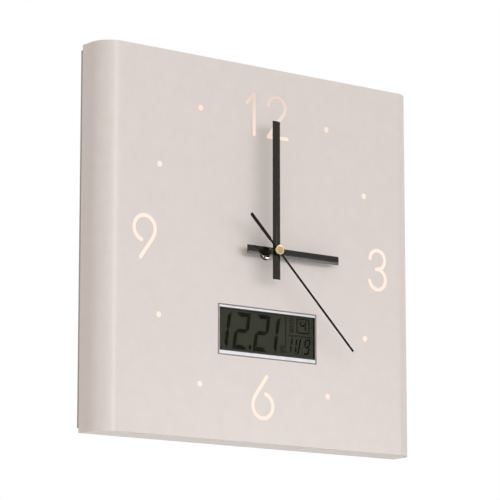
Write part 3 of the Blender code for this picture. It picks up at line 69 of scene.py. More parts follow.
ROUND_STEPS, FINE_STEPS = 48, 64    # round a turned shape
FLAT_WEIGHT = 100
MERGE = 0.001 * MM
FLAT_ANGLE = 1            # degrees: faces that turn by less are joined into one

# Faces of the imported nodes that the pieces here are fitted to
cover_low, cover_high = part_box("front_cover")
bezel_low, bezel_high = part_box("lcd_bezel")
window_low, window_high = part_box("lcd_window")
glass_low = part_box("lcd_panel")[0]
hour_low, hour_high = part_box("hour_hand")
minute_low, minute_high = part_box("minute_hand")
second_low, second_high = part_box("second_hand")
cap_low, cap_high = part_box("hand_cap")
nut_low, nut_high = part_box("bush_nut")
washer_low, washer_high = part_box("bush_washer")
FACE_Y = cover_low.y

# Case sheet
SHEET_T = 1.5 * MM
BEND_R = 20 * MM
BEND_STEPS = 48
EDGE_ROUND = 0.12 * MM    # eased edges of the sheet and its cut-outs

# Dial: laid out as on the solids, with slightly thinner strokes and wider dots
DIAL_R = 125 * MM
DOT_D = 5.5 * MM
SIDE_DOT_SHARE = 0.9345
GLYPH_H = 38 * MM
STROKE_W = 3.6 * MM
NUMERAL_12 = (2.8 * MM, 128.3 * MM)
NUMERAL_3 = (132.5 * MM, -1.0 * MM)
NUMERAL_6 = (-2.3 * MM, -131.5 * MM)
NUMERAL_9 = (-132.5 * MM, 0.3 * MM)
ARC_STEPS = 32
CAP_STEPS = 12
DISPLAY_GAP = 0.3 * MM
BUSH_HOLE_R = 4.3 * MM
HOUR_ANGLE = math.radians(30)

# Posts for the back panel's screws and studs for the display, welded to the sheet
POST_X, POST_Z = 154 * MM, 150 * MM
POST_R, POST_BORE_R, POST_BORE_DEPTH = 4.5 * MM, 1.9 * MM, 14 * MM
STUD_R, STUD_APART, STUD_END_Y = 1.5 * MM, 63 * MM, -27.7 * MM
POST_SINK = 0.2 * MM
WELD = 0.5 * MM

# Textures
NOISE_LOW, NOISE_HIGH = 0.3, 0.7    # most values of a noise lie between these
MOTTLE_GRAINS, GLOSS_GRAINS = 30, 12
MARK_SIZE, MARK_DETAIL = 0.4 * MM, 4.0
SPANGLE_SIZE, SPANGLE_DEPTH = 3 * MM, 0.82
TURNED_MARK, TURNED_RELIEF = 0.08 * MM, 0.0004 * MM
LACQUER_METALLIC, RIM_BLEND = 0.85, 0.03
WINDOW_ALPHA, WINDOW_LEVEL = 0.05, 0.3
WINDOW_ROUGH, WINDOW_HAZE, HAZE_SIZE = 0.03, 0.08, 8 * MM

# Opal sheet: painted glow, an emission standing in for the LED light from inside the case; it
# glows towards the dial only, and painted shade makes it glow less in a wide flat spot behind the
# 12
OPAL_ROUGH, OPAL_CLOUD, OPAL_DEPTH = 0.5, 20 * MM, 0.97
SPOT_SIZE = (140 * MM, 140 * MM, 52 * MM)
SPOT_DROP = 20 * MM       # from the top of the case down to the middle of the spot
SPOT_SHARE = 0.47
FRONT_NORMAL = -0.5


def principled(name, colour, roughness, metallic=0.0):
    """A new material, its tree and its shader, with the plain values set on the shader."""
    material = bpy.data.materials.new(name)
    material.use_nodes = True
    tree = material.node_tree
    shader = tree.nodes["Principled BSDF"]
    shader.inputs["Base Color"].default_value = (*colour, 1)
    shader.inputs["Roughness"].default_value = roughness
    shader.inputs["Metallic"].default_value = metallic
    return material, tree, shader


def texture_place(tree, stretch=(1, 1, 1)):
    """Object coordinates, which are metres in the frame, stretched along the axes."""
    place = tree.nodes.new("ShaderNodeTexCoord")
    mapping = tree.nodes.new("ShaderNodeMapping")
    mapping.inputs["Scale"].default_value = stretch
    tree.links.new(place.outputs["Object"], mapping.inputs["Vector"])
    return mapping.outputs["Vector"]


def noise(tree, size, detail=3.0, stretch=(1, 1, 1)):
    """Noise whose blotches are about the given size in metres."""
    made = tree.nodes.new("ShaderNodeTexNoise")
    made.inputs["Scale"].default_value = 1 / size
    made.inputs["Detail"].default_value = detail
    tree.links.new(texture_place(tree, stretch), made.inputs["Vector"])
    return made.outputs["Fac"]


def spread(tree, source, low, high):
    """Noise values spread over a range."""
    ramp = tree.nodes.new("ShaderNodeMapRange")
    ramp.inputs["From Min"].default_value = NOISE_LOW
    ramp.inputs["From Max"].default_value = NOISE_HIGH
    ramp.inputs["To Min"].default_value = low
    ramp.inputs["To Max"].default_value = high
    tree.links.new(source, ramp.inputs["Value"])
    return ramp.outputs["Result"]


def tint(tree, shader, source, first, second):
    """The base colour runs between two colours."""
    ramp = tree.nodes.new("ShaderNodeValToRGB")
    ramp.color_ramp.elements[0].position = NOISE_LOW
    ramp.color_ramp.elements[1].position = NOISE_HIGH
    ramp.color_ramp.elements[0].color = (*first, 1)
    ramp.color_ramp.elements[1].color = (*second, 1)
    tree.links.new(source, ramp.inputs["Fac"])
    tree.links.new(ramp.outputs["Color"], shader.inputs["Base Color"])


def bump(tree, shader, source, height):
    """A surface relief of the given height in metres."""
    made = tree.nodes.new("ShaderNodeBump")
    made.inputs["Distance"].default_value = height
    made.inputs["Strength"].default_value = 1
    tree.links.new(source, made.inputs["Height"])
    tree.links.new(made.outputs["Normal"], shader.inputs["Normal"])


def gloss(tree, shader, source, roughness, low=0.9, high=1.1):
    """The roughness runs between two shares of a value."""
    tree.links.new(spread(tree, source, roughness * low, roughness * high),
                   shader.inputs["Roughness"])


def shaded(colour, share):
    return tuple(channel * share for channel in colour)


def moulded(name, colour, roughness, grain=0.5 * MM, relief=0.01 * MM, depth=0.9):
    """Moulded plastic or paint: faint mottling, a fine grain and uneven gloss."""
    material, tree, shader = principled(name, colour, roughness)
    tint(tree, shader, noise(tree, MOTTLE_GRAINS * grain), shaded(colour, depth),
         shaded(colour, 2 - depth))
    gloss(tree, shader, noise(tree, GLOSS_GRAINS * grain), roughness)
    bump(tree, shader, noise(tree, grain), relief)
    return material


def brushed(name, colour, roughness, stretch, depth=0.9, relief=0.004 * MM):
    """Metal with fine marks drawn out along one axis."""
    material, tree, shader = principled(name, colour, roughness, 1.0)
    marks = noise(tree, MARK_SIZE, MARK_DETAIL, stretch)
    tint(tree, shader, marks, shaded(colour, depth), colour)
    gloss(tree, shader, marks, roughness, 0.8, 1.2)
    bump(tree, shader, marks, relief)
    return material


def spangled(name, colour, roughness):
    """Zinc-coated steel: crystals a few millimetres across, each a little lighter or darker."""
    material, tree, shader = principled(name, colour, roughness, 1.0)
    cells = tree.nodes.new("ShaderNodeTexVoronoi")
    cells.inputs["Scale"].default_value = 1 / SPANGLE_SIZE
    tree.links.new(texture_place(tree), cells.inputs["Vector"])
    grey = tree.nodes.new("ShaderNodeRGBToBW")
    tree.links.new(cells.outputs["Color"], grey.inputs["Color"])
    tint(tree, shader, grey.outputs["Val"], shaded(colour, SPANGLE_DEPTH), colour)
    gloss(tree, shader, grey.outputs["Val"], roughness, 0.8, 1.3)
    return material


def opal_sheet(name, colour, glow, strength):
    """Opal acrylic with a painted glow towards the dial, standing in for the LED light from inside
    the case; painted shade makes it about half as bright behind the 12.
    """
    material, tree, shader = principled(name, colour, OPAL_ROUGH)
    tint(tree, shader, noise(tree, OPAL_CLOUD), shaded(colour, OPAL_DEPTH), colour)
    shader.inputs["Emission Color"].default_value = (*glow, 1)
    fade = tree.nodes.new("ShaderNodeTexGradient")
    fade.gradient_type = "SPHERICAL"
    place = tree.nodes.new("ShaderNodeTexCoord")
    mapping = tree.nodes.new("ShaderNodeMapping")
    mapping.vector_type = "TEXTURE"
    mapping.inputs["Location"].default_value = (0, FACE_Y, cover_high.z - SPOT_DROP)
    mapping.inputs["Scale"].default_value = SPOT_SIZE
    tree.links.new(place.outputs["Object"], mapping.inputs["Vector"])
    tree.links.new(mapping.outputs["Vector"], fade.inputs["Vector"])
    # painted shade: the glow falls to a share of its strength in the spot behind the 12
    level = tree.nodes.new("ShaderNodeMapRange")
    level.inputs["To Min"].default_value = strength
    level.inputs["To Max"].default_value = strength * SPOT_SHARE
    tree.links.new(fade.outputs["Fac"], level.inputs["Value"])
    # the painted glow lights only faces that look towards the dial
    facing = tree.nodes.new("ShaderNodeSeparateXYZ")
    surface = tree.nodes.new("ShaderNodeNewGeometry")
    outward = tree.nodes.new("ShaderNodeMath")
    outward.operation = "LESS_THAN"
    outward.inputs[1].default_value = FRONT_NORMAL
    lit = tree.nodes.new("ShaderNodeMath")
    lit.operation = "MULTIPLY"
    tree.links.new(surface.outputs["True Normal"], facing.inputs["Vector"])
    tree.links.new(facing.outputs["Y"], outward.inputs[0])
    tree.links.new(outward.outputs["Value"], lit.inputs[0])
    tree.links.new(level.outputs["Result"], lit.inputs[1])
    tree.links.new(lit.outputs["Value"], shader.inputs["Emission Strength"])
    return material


def clear_sheet(name, colour):
    """The display's clear window."""
    material, tree, shader = principled(name, colour, WINDOW_ROUGH)
    shader.inputs["Alpha"].default_value = WINDOW_ALPHA
    shader.inputs["Specular IOR Level"].default_value = WINDOW_LEVEL
    tree.links.new(spread(tree, noise(tree, HAZE_SIZE), WINDOW_ROUGH, WINDOW_HAZE),
                   shader.inputs["Roughness"])
    return material


def low_gloss(material, level):
    """A dark surface that mirrors little."""
    material.node_tree.nodes["Principled BSDF"].inputs["Specular IOR Level"].default_value = level
    return material


def from_axis(tree, inner, outer):
    """0 within the inner distance from the hands' axis, 1 past the outer one."""
    place = tree.nodes.new("ShaderNodeTexCoord")
    flat = tree.nodes.new("ShaderNodeVectorMath")
    flat.operation = "MULTIPLY"
    flat.inputs[1].default_value = (1, 0, 1)
    length = tree.nodes.new("ShaderNodeVectorMath")
    length.operation = "LENGTH"
    ramp = tree.nodes.new("ShaderNodeMapRange")
    ramp.inputs["From Min"].default_value = inner
    ramp.inputs["From Max"].default_value = outer
    tree.links.new(place.outputs["Object"], flat.inputs[0])
    tree.links.new(flat.outputs["Vector"], length.inputs[0])
    tree.links.new(length.outputs["Value"], ramp.inputs["Value"])
    return ramp.outputs["Result"]


def two_tone_brass(name, face, rim, face_r, roughness):
    """Lacquered brass: a tan turned face inside a paler polished rim."""
    material, tree, shader = principled(name, face, roughness, LACQUER_METALLIC)
    ramp = tree.nodes.new("ShaderNodeValToRGB")
    ramp.color_ramp.elements[0].color = (*face, 1)
    ramp.color_ramp.elements[1].color = (*rim, 1)
    tree.links.new(from_axis(tree, face_r * (1 - RIM_BLEND), face_r * (1 + RIM_BLEND)),
                   ramp.inputs["Fac"])
    tree.links.new(ramp.outputs["Color"], shader.inputs["Base Color"])
    marks = noise(tree, TURNED_MARK)
    gloss(tree, shader, marks, roughness)
    bump(tree, shader, marks, TURNED_RELIEF)
    return material


# Looks, by material slot; some pieces further on add their own
SLOTS = {
    "case_paint": moulded("case_paint", (0.740, 0.674, 0.635), 0.31, 0.35 * MM, 0.003 * MM,
                          0.985),
    "zinc_steel": spangled("zinc_steel", (0.62, 0.63, 0.64), 0.34),
    "chrome": brushed("chrome", (0.82, 0.83, 0.85), 0.10, (1, 12, 1), 0.95, 0.001 * MM),
    "brass": brushed("brass", (0.80, 0.62, 0.36), 0.30, (1, 1, 8), 0.92, 0.002 * MM),
    "rubber": moulded("rubber", (0.028, 0.027, 0.026), 0.72, 0.6 * MM, 0.02 * MM),
    # opal_acrylic: its glow colour and strength are painted light, standing in for the LEDs inside
    # the case
    "opal_acrylic": opal_sheet("opal_acrylic", (0.50, 0.44, 0.38), (1.0, 0.735, 0.66), 0.60),
    "silver_plastic": moulded("silver_plastic", (0.80, 0.80, 0.84), 0.26, 0.3 * MM,
                              0.002 * MM),
    "display_window": clear_sheet("display_window", (0.03, 0.03, 0.025)),
    "display_glass": low_gloss(moulded("display_glass", (0.045, 0.047, 0.029), 0.35, 0.8 * MM,
                                       0.002 * MM), 0.05),
    "housing_plastic": moulded("housing_plastic", (0.075, 0.075, 0.08), 0.55),
    "movement_plastic": moulded("movement_plastic", (0.045, 0.045, 0.05), 0.50),
    "gear_plastic": moulded("gear_plastic", (0.78, 0.76, 0.70), 0.45),
    "hand_black": low_gloss(moulded("hand_black", (0.014, 0.010, 0.005), 0.15, 0.25 * MM,
                                    0.001 * MM), 0.29),
    "circuit_board": moulded("circuit_board", (0.03, 0.17, 0.08), 0.42, 1.2 * MM),
    "copper_winding": brushed("copper_winding", (0.72, 0.32, 0.18), 0.35, (12, 1, 1), 0.7),
    "cell_jacket": brushed("cell_jacket", (0.20, 0.30, 0.40), 0.32, (1, 8, 8)),
    "control_plastic": moulded("control_plastic", (0.42, 0.42, 0.44), 0.50),
    "wire_jacket": moulded("wire_jacket", (0.55, 0.05, 0.04), 0.50),
}


def polar(distance, angle, start=(0, 0)):
    return (start[0] + distance * math.cos(angle), start[1] + distance * math.sin(angle))


def arc(middle, radius, start, end, steps=ARC_STEPS):
    """Points on a round stretch, its angles in degrees from +X towards +Z."""
    turns = [math.radians(start + (end - start) * i / steps) for i in range(steps + 1)]
    return [polar(radius, turn, middle) for turn in turns]


def finished(name, mesh, slot, body="case", stands_for=(),
             smooth_angle=SMOOTH_ANGLE):
    """Makes the object, rides it on its body and gives it its slot's material."""
    piece = bpy.data.objects.new(name, mesh)
    bpy.context.scene.collection.objects.link(piece)
    mesh.materials.clear()
    mesh.materials.append(SLOTS[slot])
    mesh.shade_smooth()
    mesh.set_sharp_from_angle(angle=math.radians(smooth_angle))
    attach(piece, body)
    if stands_for:
        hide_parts(*stands_for)
    return piece


def mesh_of(name, build):
    """A mesh made by a function that fills a bmesh."""
    made = bmesh.new()
    build(made)
    bmesh.ops.recalc_face_normals(made, faces=made.faces)
    mesh = bpy.data.meshes.new(name)
    made.to_mesh(mesh)
    made.free()
    return mesh


def add_prism(made, outline, low, high, axis="Y"):
    """Adds a closed prism of an outline: (x, z) points along Y, or (x, y) points along Z."""
    def corner(point, level):
        return (point[0], level, point[1]) if axis == "Y" else (point[0], point[1], level)
    rings = [[made.verts.new(corner(p, level)) for p in outline] for level in (low, high)]
    made.faces.new(rings[0][::-1])
    made.faces.new(rings[1])
    add_band(made, rings[0], rings[1])


def add_band(made, first, second, closed=True):
    """Quads between two rows of vertices."""
    count = len(first)
    for i in range(count if closed else count - 1):
        j = (i + 1) % count
        made.faces.new((first[i], first[j], second[j], second[i]))


def add_turned(made, profile, at=(0, 0), steps=ROUND_STEPS):
    """Adds a closed body turned about a Y axis; its (radius, y) points start and end at 0."""
    rings = []
    for radius, y in profile:
        if radius == 0:
            rings.append([made.verts.new((at[0], y, at[1]))])
            continue
        turns = [2 * math.pi * k / steps for k in range(steps)]
        places = [polar(radius, turn, at) for turn in turns]
        rings.append([made.verts.new((x, y, z)) for x, z in places])
    for first, second in zip(rings, rings[1:]):
        if len(first) == 1 or len(second) == 1:
            tip, ring = (first[0], second) if len(first) == 1 else (second[0], first)
            for i in range(steps):
                made.faces.new((tip, ring[i], ring[(i + 1) % steps]))
        else:
            add_band(made, first, second)


def disc_outline(radius, at=(0, 0), steps=ROUND_STEPS):
    return [polar(radius, 2 * math.pi * k / steps, at) for k in range(steps)]


def block_outline(middle, width, height):
    x, z = middle
    return [(x - width / 2, z - height / 2), (x + width / 2, z - height / 2),
            (x + width / 2, z + height / 2), (x - width / 2, z + height / 2)]


def loose(name, mesh):
    made = bpy.data.objects.new(name, mesh)
    bpy.context.scene.collection.objects.link(made)
    return made


def cut_mesh(mesh, outlines, low, high, edge_round=0.0):
    """The mesh with prisms cut through it along Y, its sharp edges then eased."""
    base = loose("base", mesh)
    cutters = bpy.data.collections.new("cutters")
    bpy.context.scene.collection.children.link(cutters)
    for outline in outlines:
        made = bpy.data.objects.new("cutter", mesh_of(
            "cutter", lambda shape, o=outline: add_prism(shape, o, low, high)))
        cutters.objects.link(made)
    if outlines:
        boolean = base.modifiers.new("cut", "BOOLEAN")
        boolean.operation = "DIFFERENCE"
        boolean.operand_type = "COLLECTION"
        boolean.collection = cutters
        boolean.solver = "EXACT"
    if edge_round:
        ease = base.modifiers.new("ease", "BEVEL")
        ease.width = edge_round
        ease.segments = EASE_SEGMENTS
        ease.limit_method = "ANGLE"
        ease.angle_limit = math.radians(EASE_ANGLE)
    shape = bpy.data.meshes.new_from_object(
        base.evaluated_get(bpy.context.evaluated_depsgraph_get()))
    for made in list(cutters.objects) + [base]:
        bpy.data.objects.remove(made)
    bpy.data.collections.remove(cutters)
    return shape


def weighted(piece):
    """Keeps wide flat faces flat where they meet a bend or an eased edge."""
    even = piece.modifiers.new("even", "WEIGHTED_NORMAL")
    even.keep_sharp = True
    even.weight = FLAT_WEIGHT
    return piece


def bent_outline(inset, back_y):
    """The sheet's cross-section seen from above, as (x, y), drawn in by an inset."""
    half = cover_high.x - inset
    radius = BEND_R - inset
    front = FACE_Y + inset
    left = arc((-half + radius, front + radius), radius, 180, 270, BEND_STEPS)
    right = arc((half - radius, front + radius), radius, 270, 360, BEND_STEPS)
    return [(-half, back_y)] + left + right + [(half, back_y)]


def stroke(points, width):
    """The outline of a round-ended stroke along a path of (x, z) points."""
    half = width / 2
    sides = ([], [])
    for i, point in enumerate(points):
        before, after = points[max(i - 1, 0)], points[min(i + 1, len(points) - 1)]
        run = math.atan2(after[1] - before[1], after[0] - before[0])
        sides[0].append(polar(half, run + math.pi / 2, point))
        sides[1].append(polar(half, run - math.pi / 2, point))
    ends = []
    for point, near in ((points[-1], points[-2]), (points[0], points[1])):
        run = math.atan2(point[1] - near[1], point[0] - near[0])
        turns = [run + math.pi / 2 - math.pi * k / CAP_STEPS for k in range(1, CAP_STEPS)]
        ends.append([polar(half, turn, point) for turn in turns])
    return sides[0] + ends[0] + sides[1][::-1] + ends[1]


def curve_between(start, start_pull, end_pull, end, steps=ARC_STEPS):
    """Points on a smooth curve that leaves and arrives towards its pull points."""
    points = []
    for i in range(steps + 1):
        t = i / steps
        weights = ((1 - t) ** 3, 3 * t * (1 - t) ** 2, 3 * t * t * (1 - t), t ** 3)
        corners = (start, start_pull, end_pull, end)
        points.append(tuple(sum(w * c[k] for w, c in zip(weights, corners)) for k in (0, 1)))
    return points


# Numerals drawn about their own middle, in shares of the numeral's height and in degrees
ONE_SHARES = ((-0.61, 0.24), (-0.387, 0.508), (-0.389, -0.508))
TWO_BOWL_SHARES = (0.300, 0.252, 0.255)
TWO_BOWL_TURN = (176, -38)
TWO_FOOT_SHARES = ((0.029, -0.508), (0.608, -0.495))
SIX_BOWL_SHARE = 0.295
SIX_BOWL_TURN = (74, -180)
SIX_DROP_SHARE = 0.205
SIX_TAIL_SHARES = ((-0.295, -0.02), (-0.19, 0.068), (0.112, 0.490))
THREE_TOP_SHARES = (0.0, 0.252, 0.236)
THREE_TOP_TURN = (176, -70)
THREE_LOW_SHARES = (0.0, -0.235, 0.255)
THREE_LOW_TURN = (68, -168)
THREE_ARM_SHARE = (-0.035, 0.012)


def placed(points, middle, turned_over=False):
    """Shares of the numeral's height, moved to the middle of a numeral."""
    scale = -GLYPH_H if turned_over else GLYPH_H
    return [(middle[0] + scale * u, middle[1] + scale * v) for u, v in points]


def numeral_strokes(width=STROKE_W):
    """The strokes of 12, 3, 6 and 9, each as one outline."""
    bowl_x, bowl_z, bowl_r = TWO_BOWL_SHARES
    two = arc((bowl_x, bowl_z), bowl_r, *TWO_BOWL_TURN) + [TWO_FOOT_SHARES[0]]
    ring = arc((0, -SIX_DROP_SHARE), SIX_BOWL_SHARE, *SIX_BOWL_TURN, 2 * ARC_STEPS)
    tail_pull, tail_bend, tail_end = SIX_TAIL_SHARES
    ring += curve_between(ring[-1], tail_pull, tail_bend, tail_end)[1:]
    top_x, top_z, top_r = THREE_TOP_SHARES
    three_top = arc((top_x, top_z), top_r, *THREE_TOP_TURN) + [THREE_ARM_SHARE]
    low_x, low_z, low_r = THREE_LOW_SHARES
    three_low = arc((low_x, low_z), low_r, *THREE_LOW_TURN)
    paths = [placed(ONE_SHARES[:2], NUMERAL_12), placed(ONE_SHARES[1:], NUMERAL_12),
             placed(two, NUMERAL_12), placed(TWO_FOOT_SHARES, NUMERAL_12),
             placed(three_top, NUMERAL_3), placed(three_low, NUMERAL_3),
             placed(ring, NUMERAL_6), placed(ring, NUMERAL_9, turned_over=True)]
    return [stroke(path, width) for path in paths]


def dot_places():
    """The eight dots: two to each side of 12 and 6, two beside 3 and 9."""
    near = DIAL_R * math.tan(HOUR_ANGLE)
    side = DIAL_R * SIDE_DOT_SHARE
    low = side * math.tan(HOUR_ANGLE)
    places = [(sx * near, sz * DIAL_R) for sx in (-1, 1) for sz in (-1, 1)]
    return places + [(sx * side, sz * low) for sx in (-1, 1) for sz in (-1, 1)]


def sheet_shell(made):
    """The bent sheet as four strips of quads."""
    back = cover_high.y
    outer, inner = bent_outline(0, back), bent_outline(SHEET_T, back)
    rows = [[made.verts.new((x, y, z)) for x, y in outline]
            for outline in (outer, inner) for z in (cover_low.z, cover_high.z)]
    outer_low, outer_high, inner_low, inner_high = rows
    add_band(made, outer_low, outer_high, closed=False)
    add_band(made, inner_low, inner_high, closed=False)
    add_band(made, outer_low, inner_low, closed=False)
    add_band(made, outer_high, inner_high, closed=False)
    for end in (0, -1):
        made.faces.new((outer_low[end], outer_high[end], inner_high[end], inner_low[end]))


def add_post(made, at, radius, bore, end, depth):
    """A post welded to the back of the sheet, with a round of weld at its foot and a bore."""
    foot = FACE_Y + SHEET_T - POST_SINK
    profile = [(0, foot), (radius + WELD, foot), (radius + WELD / 3, foot + WELD),
               (radius, foot + 2 * WELD), (radius, end - EDGE_ROUND), (radius - EDGE_ROUND, end)]
    if bore:
        profile += [(bore + EDGE_ROUND, end), (bore, end - EDGE_ROUND), (bore, end - depth)]
    add_turned(made, [*profile, (0, profile[-1][1])], at)


def face_sheet():
    """The bent front sheet with its lit cut-outs, round the display and the movement's bush."""
    bezel_middle = (bezel_low + bezel_high) / 2
    outlines = numeral_strokes()
    outlines += [disc_outline(DOT_D / 2, place, ARC_STEPS) for place in dot_places()]
    outlines.append(block_outline((bezel_middle.x, bezel_middle.z),
                                  bezel_high.x - bezel_low.x + 2 * DISPLAY_GAP,
                                  bezel_high.z - bezel_low.z + 2 * DISPLAY_GAP))
    outlines.append(disc_outline(BUSH_HOLE_R))
    mesh = cut_mesh(mesh_of("face_sheet", sheet_shell), outlines, FACE_Y - OVERRUN,
                    FACE_Y + SHEET_T + OVERRUN, EDGE_ROUND)
    made = bmesh.new()
    for x in (-POST_X, POST_X):
        for z in (-POST_Z, POST_Z):
            add_post(made, (x, z), POST_R, POST_BORE_R, cover_high.y, POST_BORE_DEPTH)
    for x in (bezel_middle.x - STUD_APART, bezel_middle.x + STUD_APART):
        add_post(made, (x, bezel_middle.z), STUD_R, 0, STUD_END_Y, 0)
    bmesh.ops.recalc_face_normals(made, faces=made.faces)
    made.from_mesh(mesh)
    made.to_mesh(mesh)
    made.free()
    weighted(finished("face_sheet", mesh, "case_paint", stands_for=["front_cover"]))


face_sheet()

# Opal inlays in the cut-outs, just under the face; each sits a hair deeper than the one before,
# so that strokes that cross share no surface
INLAY_GAP, INLAY_SINK, INLAY_STEP = 0.05 * MM, 0.12 * MM, 0.01 * MM


def inlays():
    """The opal prisms that fill the numerals and dots."""
    outlines = numeral_strokes(STROKE_W - 2 * INLAY_GAP)
    outlines += [disc_outline(DOT_D / 2 - INLAY_GAP, place, ARC_STEPS)
                 for place in dot_places()]

    def build(made):
        for number, outline in enumerate(outlines):
            add_prism(made, outline, FACE_Y + INLAY_SINK + number * INLAY_STEP, FACE_Y + SHEET_T)
    finished("dial_inlays", mesh_of("dial_inlays", build), "opal_acrylic")


inlays()


# Hands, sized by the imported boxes: bars with a low crown across their width
HAND_NODES = {"hours": "hour_hand", "minutes": "minute_hand"}
HAND_CROWN = 0.34 * MM
HAND_STEPS = 14
HOUR_HOLE_R, MINUTE_HOLE_R, SECOND_HOLE_R = 2.9 * MM, 1.9 * MM, 0.9 * MM
HOUR_AT, MINUTE_AT, SECOND_AT = math.pi / 2, 0.0, math.radians(134.5)   # clockwise from 12
SECOND_ROD_W = 2.0 * MM
SECOND_ROD_L = 120.7 * MM
SECOND_TAIL_W = 3.2 * MM
SECOND_TAIL_L = 43 * MM
SECOND_TAIL_START = 12 * MM
SECOND_HUB_R = 3.8 * MM
HAND_EDGE = 0.08 * MM


def aimed(points, clockwise):
    """Turns (across, along) points so that along runs at an angle clockwise from 12."""
    sine, cosine = math.sin(clockwise), math.cos(clockwise)
    return [(across * cosine + along * sine, along * cosine - across * sine)
            for across, along in points]


def bar_hand(name, body, clockwise, tail, length, width, front, back, hole):
    """A straight hand with a low crown along its front."""
    def build(made):
        half = width / 2
        shares = [2 * i / HAND_STEPS - 1 for i in range(HAND_STEPS + 1)]
        section = [(half * share, front + HAND_CROWN * share ** 2) for share in shares]
        section += [(half, back), (-half, back)]
        rows = []
        for along in (-tail, length):
            row = []
            for across, y in section:
                x, z = aimed([(across, along)], clockwise)[0]
                row.append(made.verts.new((x, y, z)))
            rows.append(row)
        made.faces.new(rows[0][::-1])
        made.faces.new(rows[1])
        add_band(made, *rows)
    mesh = cut_mesh(mesh_of(name, build), [disc_outline(hole)], front - OVERRUN, back + OVERRUN,
                    HAND_EDGE)
    finished(name, mesh, "hand_black", body, [HAND_NODES[body]], FACET_ANGLE)


bar_hand("hour_bar", "hours", HOUR_AT, -hour_low.x, hour_high.x, hour_high.z - hour_low.z,
         hour_low.y, hour_high.y, HOUR_HOLE_R)
bar_hand("minute_bar", "minutes", MINUTE_AT, -minute_low.z, minute_high.z,
         minute_high.x - minute_low.x, minute_low.y, minute_high.y, MINUTE_HOLE_R)

SLOTS["seconds_black"] = low_gloss(moulded("seconds_black", (0.006, 0.005, 0.004), 0.25,
                                           0.25 * MM, 0.001 * MM), 0.12)


def seconds_bar():
    """A thin rod with a round hub and a wider counterweight."""
    rod_half, tail_half = SECOND_ROD_W / 2, SECOND_TAIL_W / 2
    edge = math.degrees(math.asin(rod_half / SECOND_HUB_R))
    right = arc((0, 0), SECOND_HUB_R, -90 + edge, 90 - edge)
    shoulder = SECOND_TAIL_START + tail_half
    half = [(tail_half, -SECOND_TAIL_L), (tail_half, -shoulder), (rod_half, -SECOND_TAIL_START)]
    half += [*right, (rod_half, SECOND_ROD_L)]
    outline = aimed(half + [(-across, along) for across, along in half[::-1]], SECOND_AT)
    front, back = second_low.y, second_high.y
    mesh = cut_mesh(mesh_of("seconds_bar", lambda made: add_prism(made, outline, front, back)),
                    [disc_outline(SECOND_HOLE_R)], front - OVERRUN, back + OVERRUN, HAND_EDGE)
    piece = finished("seconds_bar", mesh, "seconds_black", "seconds", ["second_hand"], FACET_ANGLE)


seconds_bar()

# Cap: a round face with a rolled rim on a six-sided foot
CAP_R = 4.4 * MM
CAP_FACE_R = 3.3 * MM
CAP_RIM = 0.35 * MM
CAP_FOOT_R = 4.4 * MM
CAP_DEPTH_SHARE = 0.5
CAP_DISH_SHARES = (0.55, 0.6, 0.5)  # depths of the face's middle, its edge and the rim's foot
RIM_STEPS = 6
SLOTS["cap_brass"] = two_tone_brass("cap_brass", (0.43, 0.30, 0.155), (0.66, 0.54, 0.30),
                                    CAP_FACE_R, 0.30)


def cap():
    """The cap on the seconds hand, its face a little dished inside the rim."""
    front, back = cap_low.y, cap_high.y
    shoulder = front + (back - front) * CAP_DEPTH_SHARE
    rim = [(CAP_R - CAP_RIM + CAP_RIM * math.sin(turn), front + CAP_RIM - CAP_RIM * math.cos(turn))
           for turn in (math.radians(90 * k / RIM_STEPS) for k in range(RIM_STEPS + 1))]
    middle, edge, foot = (front + CAP_RIM * share for share in CAP_DISH_SHARES)
    profile = [(0, middle), (CAP_FACE_R, edge), (CAP_FACE_R + CAP_RIM, foot), *rim,
               (CAP_R, shoulder), (0, shoulder)]

    def build(made):
        add_turned(made, profile, steps=FINE_STEPS)
        add_turned(made, [(0, shoulder - CAP_RIM), (CAP_FOOT_R, shoulder - CAP_RIM),
                          (CAP_FOOT_R, back), (0, back)], steps=6)
    piece = finished("cap_button", mesh_of("cap_button", build), "cap_brass", "seconds",
                     ["hand_cap"])


cap()

# Collar and washer that hold the movement, round the hands' tubes
COLLAR_R, COLLAR_BORE_R = 5.6 * MM, 4.05 * MM
COLLAR_EASE, COLLAR_LIP = 0.5 * MM, 0.2 * MM
WASHER_R = 6.3 * MM
SLOTS["collar_chrome"] = brushed("collar_chrome", (0.86, 0.82, 0.76), 0.16, (1, 12, 1), 0.95,
                                 0.001 * MM)
# Near-black washer: painted shade, a dark ring standing in for the shadow round the collar
SLOTS["washer_painted_shade_black"] = moulded("washer_painted_shade_black", (0.020, 0.018, 0.016), 0.6, 0.3 * MM, 0.003 * MM)


def add_ring(made, profile, steps=FINE_STEPS):
    """Adds a ring turned about the hands' axis from a closed row of (radius, y) points."""
    turns = [2 * math.pi * k / steps for k in range(steps)]
    rows = [[made.verts.new((x, y, z)) for x, z in (polar(radius, turn) for turn in turns)]
            for radius, y in profile]
    for first, second in zip(rows, rows[1:] + rows[:1]):
        add_band(made, first, second)


def collar():
    """The plated collar and the washer under it, near-black as painted shade for the dark ring
    round the collar.
    """
    front, back = nut_low.y, nut_high.y
    profile = [(COLLAR_BORE_R, back), (COLLAR_R, back), (COLLAR_R, front + COLLAR_EASE),
               (COLLAR_R - COLLAR_EASE, front + COLLAR_LIP / 2),
               (COLLAR_R - COLLAR_EASE - COLLAR_LIP, front),
               (COLLAR_BORE_R + COLLAR_LIP, front), (COLLAR_BORE_R, front + COLLAR_LIP)]
    piece = finished("collar", mesh_of("collar", lambda made: add_ring(made, profile)),
                     "collar_chrome", stands_for=["bush_nut"])
    top, foot = washer_low.y, washer_high.y
    profile = [(COLLAR_BORE_R, foot), (WASHER_R, foot), (WASHER_R, top + COLLAR_LIP),
               (WASHER_R - COLLAR_LIP, top), (COLLAR_BORE_R, top)]
    piece = finished("washer", mesh_of("washer", lambda made: add_ring(made, profile)),
                     "washer_painted_shade_black", stands_for=["bush_washer"])


collar()
